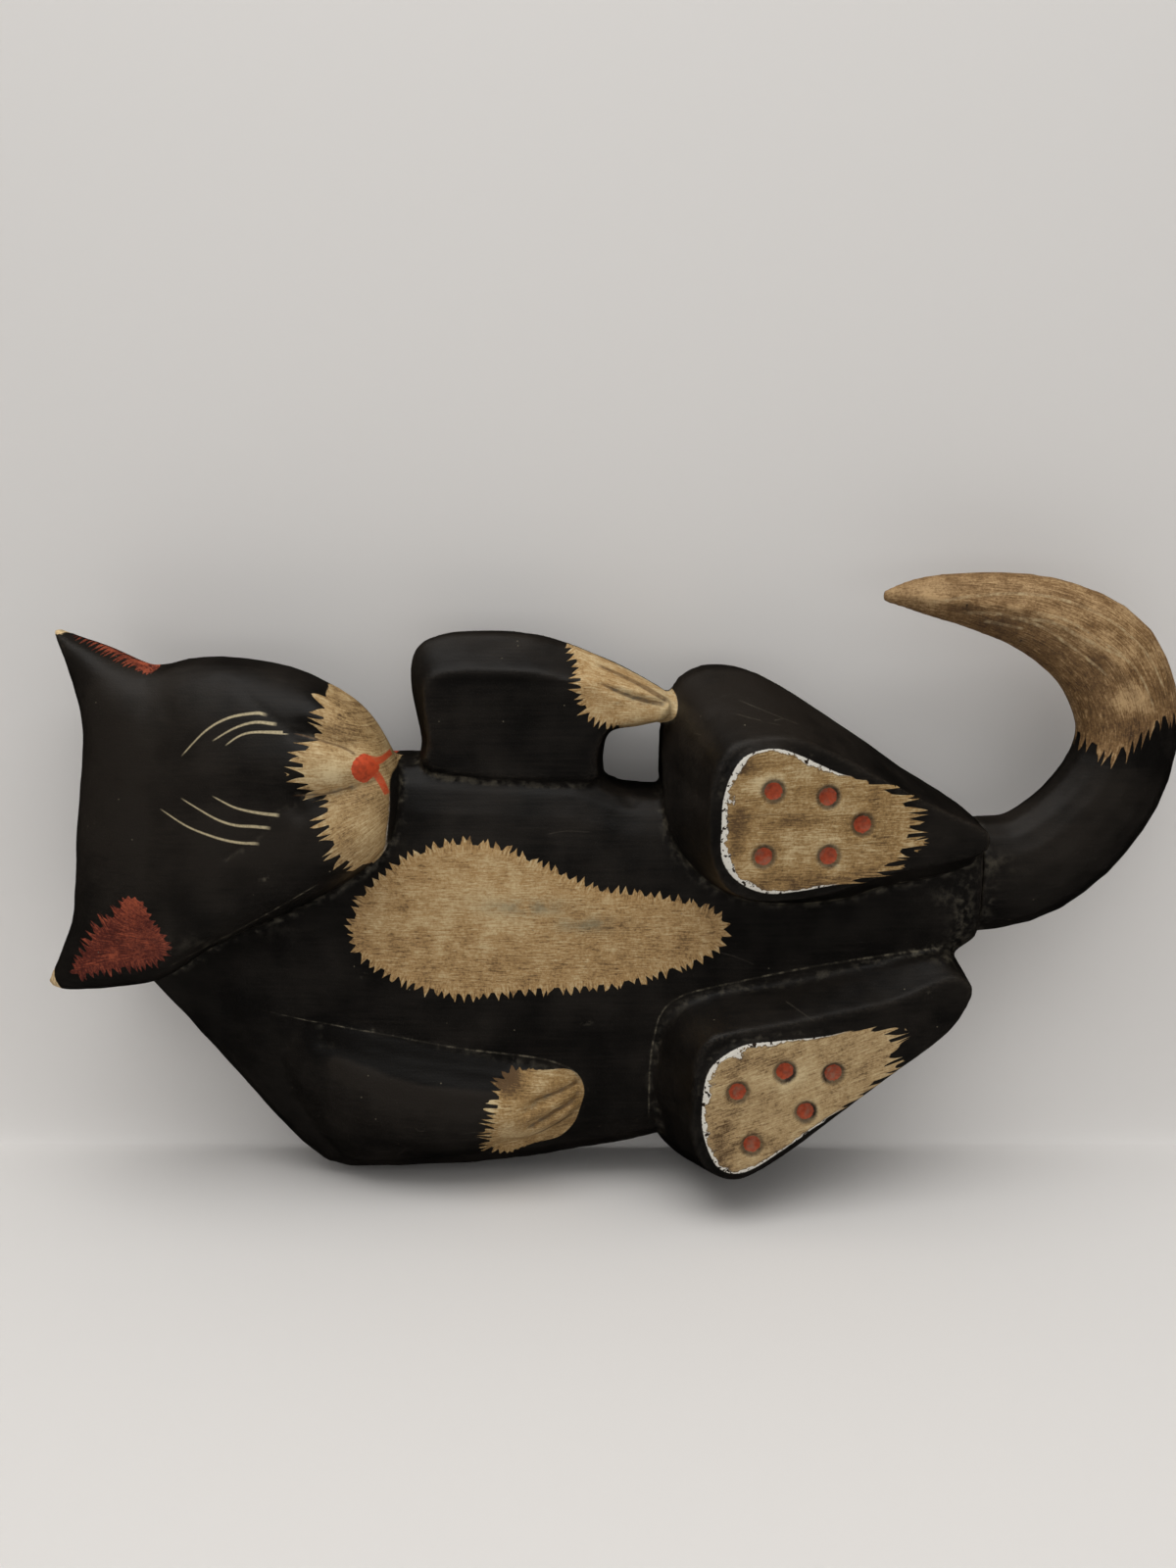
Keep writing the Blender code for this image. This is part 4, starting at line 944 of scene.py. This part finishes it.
def make_cat():
    skin = cat_skin()
    far = 2000
    lay_patches(skin, [
        patch(BELLY_FUR, ((-far, -5), far), 3.7, BELLY_TAN, facing=0.3, depths=(34, 49.5)),
        patch(MUZZLE_FUR, ((-42, 62), 55), 3.1, MUZZLE_TAN, teeth="fan", depths=(16, 90), seam=0.0),
        patch(UPPER_PAW_FUR, ((62, 82), 52), 2.7, BELLY_TAN, depths=(8, 42), seam=0.0),
        patch(LOWER_PAW_FUR, ((60, -78), 90), 2.7, SOLE_TAN, depths=(34, 62), seam=0.0),
        patch(UPPER_SOLE_FUR, ((-300, 46), 420), 2.9, SOLE_TAN, teeth="fan", facing=0.4, depths=(50, 90)),
        patch(LOWER_SOLE_FUR, ((-290, -170), 400), 2.9, LOWER_SOLE_TAN, teeth="fan", facing=0.4,
              depths=(50, 90)),
        patch(UPPER_EAR_RED, ((0, 40), 200), 2.0, EAR_RED_WORN, facing=-0.6, depths=(6, 60), seam=0.0,
              red=1.0),
        patch(LOWER_EAR_RED, ((-150, -8), 36), 2.7, EAR_RED, depths=(30, 80), seam=0.0, red=1.0),
    ])
    nose = curve_through(NOSE, 4, closed=True)
    lay_spots(skin, [(circle(pad, PAD_RADIUS), PAD_RED, 1.0) for pad in PADS]
              + [(nose, NOSE_RED, 0.0)]
              + [(chip + chip[:1], BARE_WOOD, 0.0) for chip in EAR_CHIPS])
    lay_lines(skin, [(*line, CREAM, 0) for line in EYE_LINES]
              + [(*line, NOSE_RED, 0) for line in MOUTH_LINES]
              # Brown lines of painted shade along the muzzle creases and finger grooves
              + [(*line, GROOVE_SHADE_BROWN, 0.3) for line in MUZZLE_CREASES]
              + [(line, 0.5, 0.9, GROOVE_SHADE_BROWN, 0.3) for line in FINGER_GROOVES]
              + [(*line, EDGE_DUST, 0.9) for line in DUSTY_EDGES]
              + [(line, 0.1, 0.04, SCRATCH, 0.5) for line in SCRATCHES])
    # Painted sheen along the lower arm's ridge, painted shade in the hollow under its upper edge
    arm = 1.8 * groove_depth(skin, ARM_RIDGE_SHEEN, 4.0) - 2.0 * groove_depth(skin, ARM_HOLLOW, 6)
    wear(skin, BELLY_STAINS, BODY_SCUFFS, BODY_FADING_AND_PAINTED_LIGHT, arm * (-skin.co[:, 1] > ARM_DEPTH))
    wood = painted_carved_wood("black_painted_carved_wood", TAN_DARK, TAN_LIGHT)
    dress(skin, wood, "cat_body")


def make_tail():
    skin, streaks = tail_skin()
    fur = patch(TAIL_FUR, ((0, 0), TAIL_RADIUS), 3.3, TAIL_TAN, teeth="fan", facing=-2.0)
    lay_patches(skin, [fur], streaks)
    lay_spots(skin, [(circle(pit, radius), RIM_DIRT_AND_SHADE, 0.3) for pit, radius in TAIL_PITS])
    lay_lines(skin, [(line, 0.7, 0.45, TAIL_SCRAPE, 0.8) for line in TAIL_SCRAPES])
    away = nearest_on(curve_through(TAIL_ARRIS, 6), skin.front())
    side = away[:, 2] * away[:, 3]
    arris = 0.4 * np.exp(-(away[:, 2] / 1.4) ** 2) * (0.7 + 2 * ripple(skin, 7, 21))
    # Painted light: the tail's side above the arris lighter, the side below it darker as painted shade
    top_side_painted_light = 0.3 * np.clip(side / 4, 0, 1) * (skin.co[:, 2] > 100)
    low_side_painted_shade = -0.25 * np.clip(-side / 6, 0, 1) * (skin.co[:, 2] > 60)
    front_half = np.clip((-skin.co[:, 1] - TAIL_AXIS_DEPTH) / 4, 0, 1)
    wear(skin, [], TAIL_SCUFFS, TAIL_FADING, (arris + top_side_painted_light + low_side_painted_shade) * front_half)
    wood = painted_carved_wood("brushed_painted_tail_wood", TAIL_DARK, TAIL_LIGHT)
    dress(skin, wood, "tail")


def matt_paper():
    """Uncoated photo background paper: no shine at all, so it shows only soft shade."""
    material = bpy.data.materials.new("matt_pale_paper")
    material.use_nodes = True
    shader = material.node_tree.nodes["Principled BSDF"]
    shader.inputs["Base Color"].default_value = linear(PAPER)
    shader.inputs["Roughness"].default_value = 0.9
    return material


def plain_stage():
    """A pale paper sweep: a floor, a curve behind the plaque and a wall."""
    floor = CAD_LOW.z
    profile = [(SWEEP_NEAR, floor)]
    for turn in np.linspace(0, np.pi / 2, 25):
        across = SWEEP_FOLD + (SWEEP_WALL - SWEEP_FOLD) * np.sin(turn)
        profile.append((across, floor + SWEEP_RISE - SWEEP_RISE * np.cos(turn)))
    profile.append((SWEEP_WALL, floor + SWEEP_TOP))
    shape = bmesh.new()
    rows = [[shape.verts.new((x, y, z)) for y, z in profile] for x in (-SWEEP_HALF, SWEEP_HALF)]
    for k in range(len(profile) - 1):
        shape.faces.new((rows[0][k], rows[1][k], rows[1][k + 1], rows[0][k + 1]))
    mesh = bpy.data.meshes.new("paper_sweep")
    shape.to_mesh(mesh)
    shape.free()
    mesh.shade_smooth()
    sweep = bpy.data.objects.new("paper_sweep", mesh)
    bpy.context.scene.collection.objects.link(sweep)
    mesh.materials.append(matt_paper())
    sweep.visible_glossy = False
    sweep.visible_shadow = False


def soft_light(name, place, target, size, power, colour, mirrored):
    """A large soft box; one that isn't mirrored lights the paint without a sheen."""
    data = bpy.data.lights.new(name, "AREA")
    data.shape = "RECTANGLE"
    data.size, data.size_y = size
    data.energy = power
    data.color = linear(colour)[:3]
    item = bpy.data.objects.new(name, data)
    item.location = place
    item.rotation_euler = (Vector(target) - Vector(place)).to_track_quat("-Z", "Y").to_euler()
    item.visible_glossy = mirrored
    bpy.context.scene.collection.objects.link(item)


def camera_and_light():
    """The camera half a metre away and 10 degrees above, soft boxes, and the white tent round them."""
    data = bpy.data.cameras.new("camera")
    data.sensor_width = 36
    data.lens = 28.125
    camera = bpy.data.objects.new("camera", data)
    camera.location = (0.0095, -0.5324, 0.1406)
    camera.rotation_euler = (radians(80), 0, 0)
    bpy.context.scene.collection.objects.link(camera)
    bpy.context.scene.camera = camera
    for light in SOFT_BOXES:
        soft_light(*light)
    world = bpy.data.worlds.new("white_tent")
    world.use_nodes = True
    world.node_tree.nodes["Background"].inputs["Color"].default_value = linear(TENT_WHITE)
    world.node_tree.nodes["Background"].inputs["Strength"].default_value = TENT_LIGHT
    world.cycles_visibility.glossy = False
    bpy.context.scene.world = world
    bpy.context.scene.view_settings.view_transform = "Standard"


make_cat()
make_tail()
plain_stage()
camera_and_light()
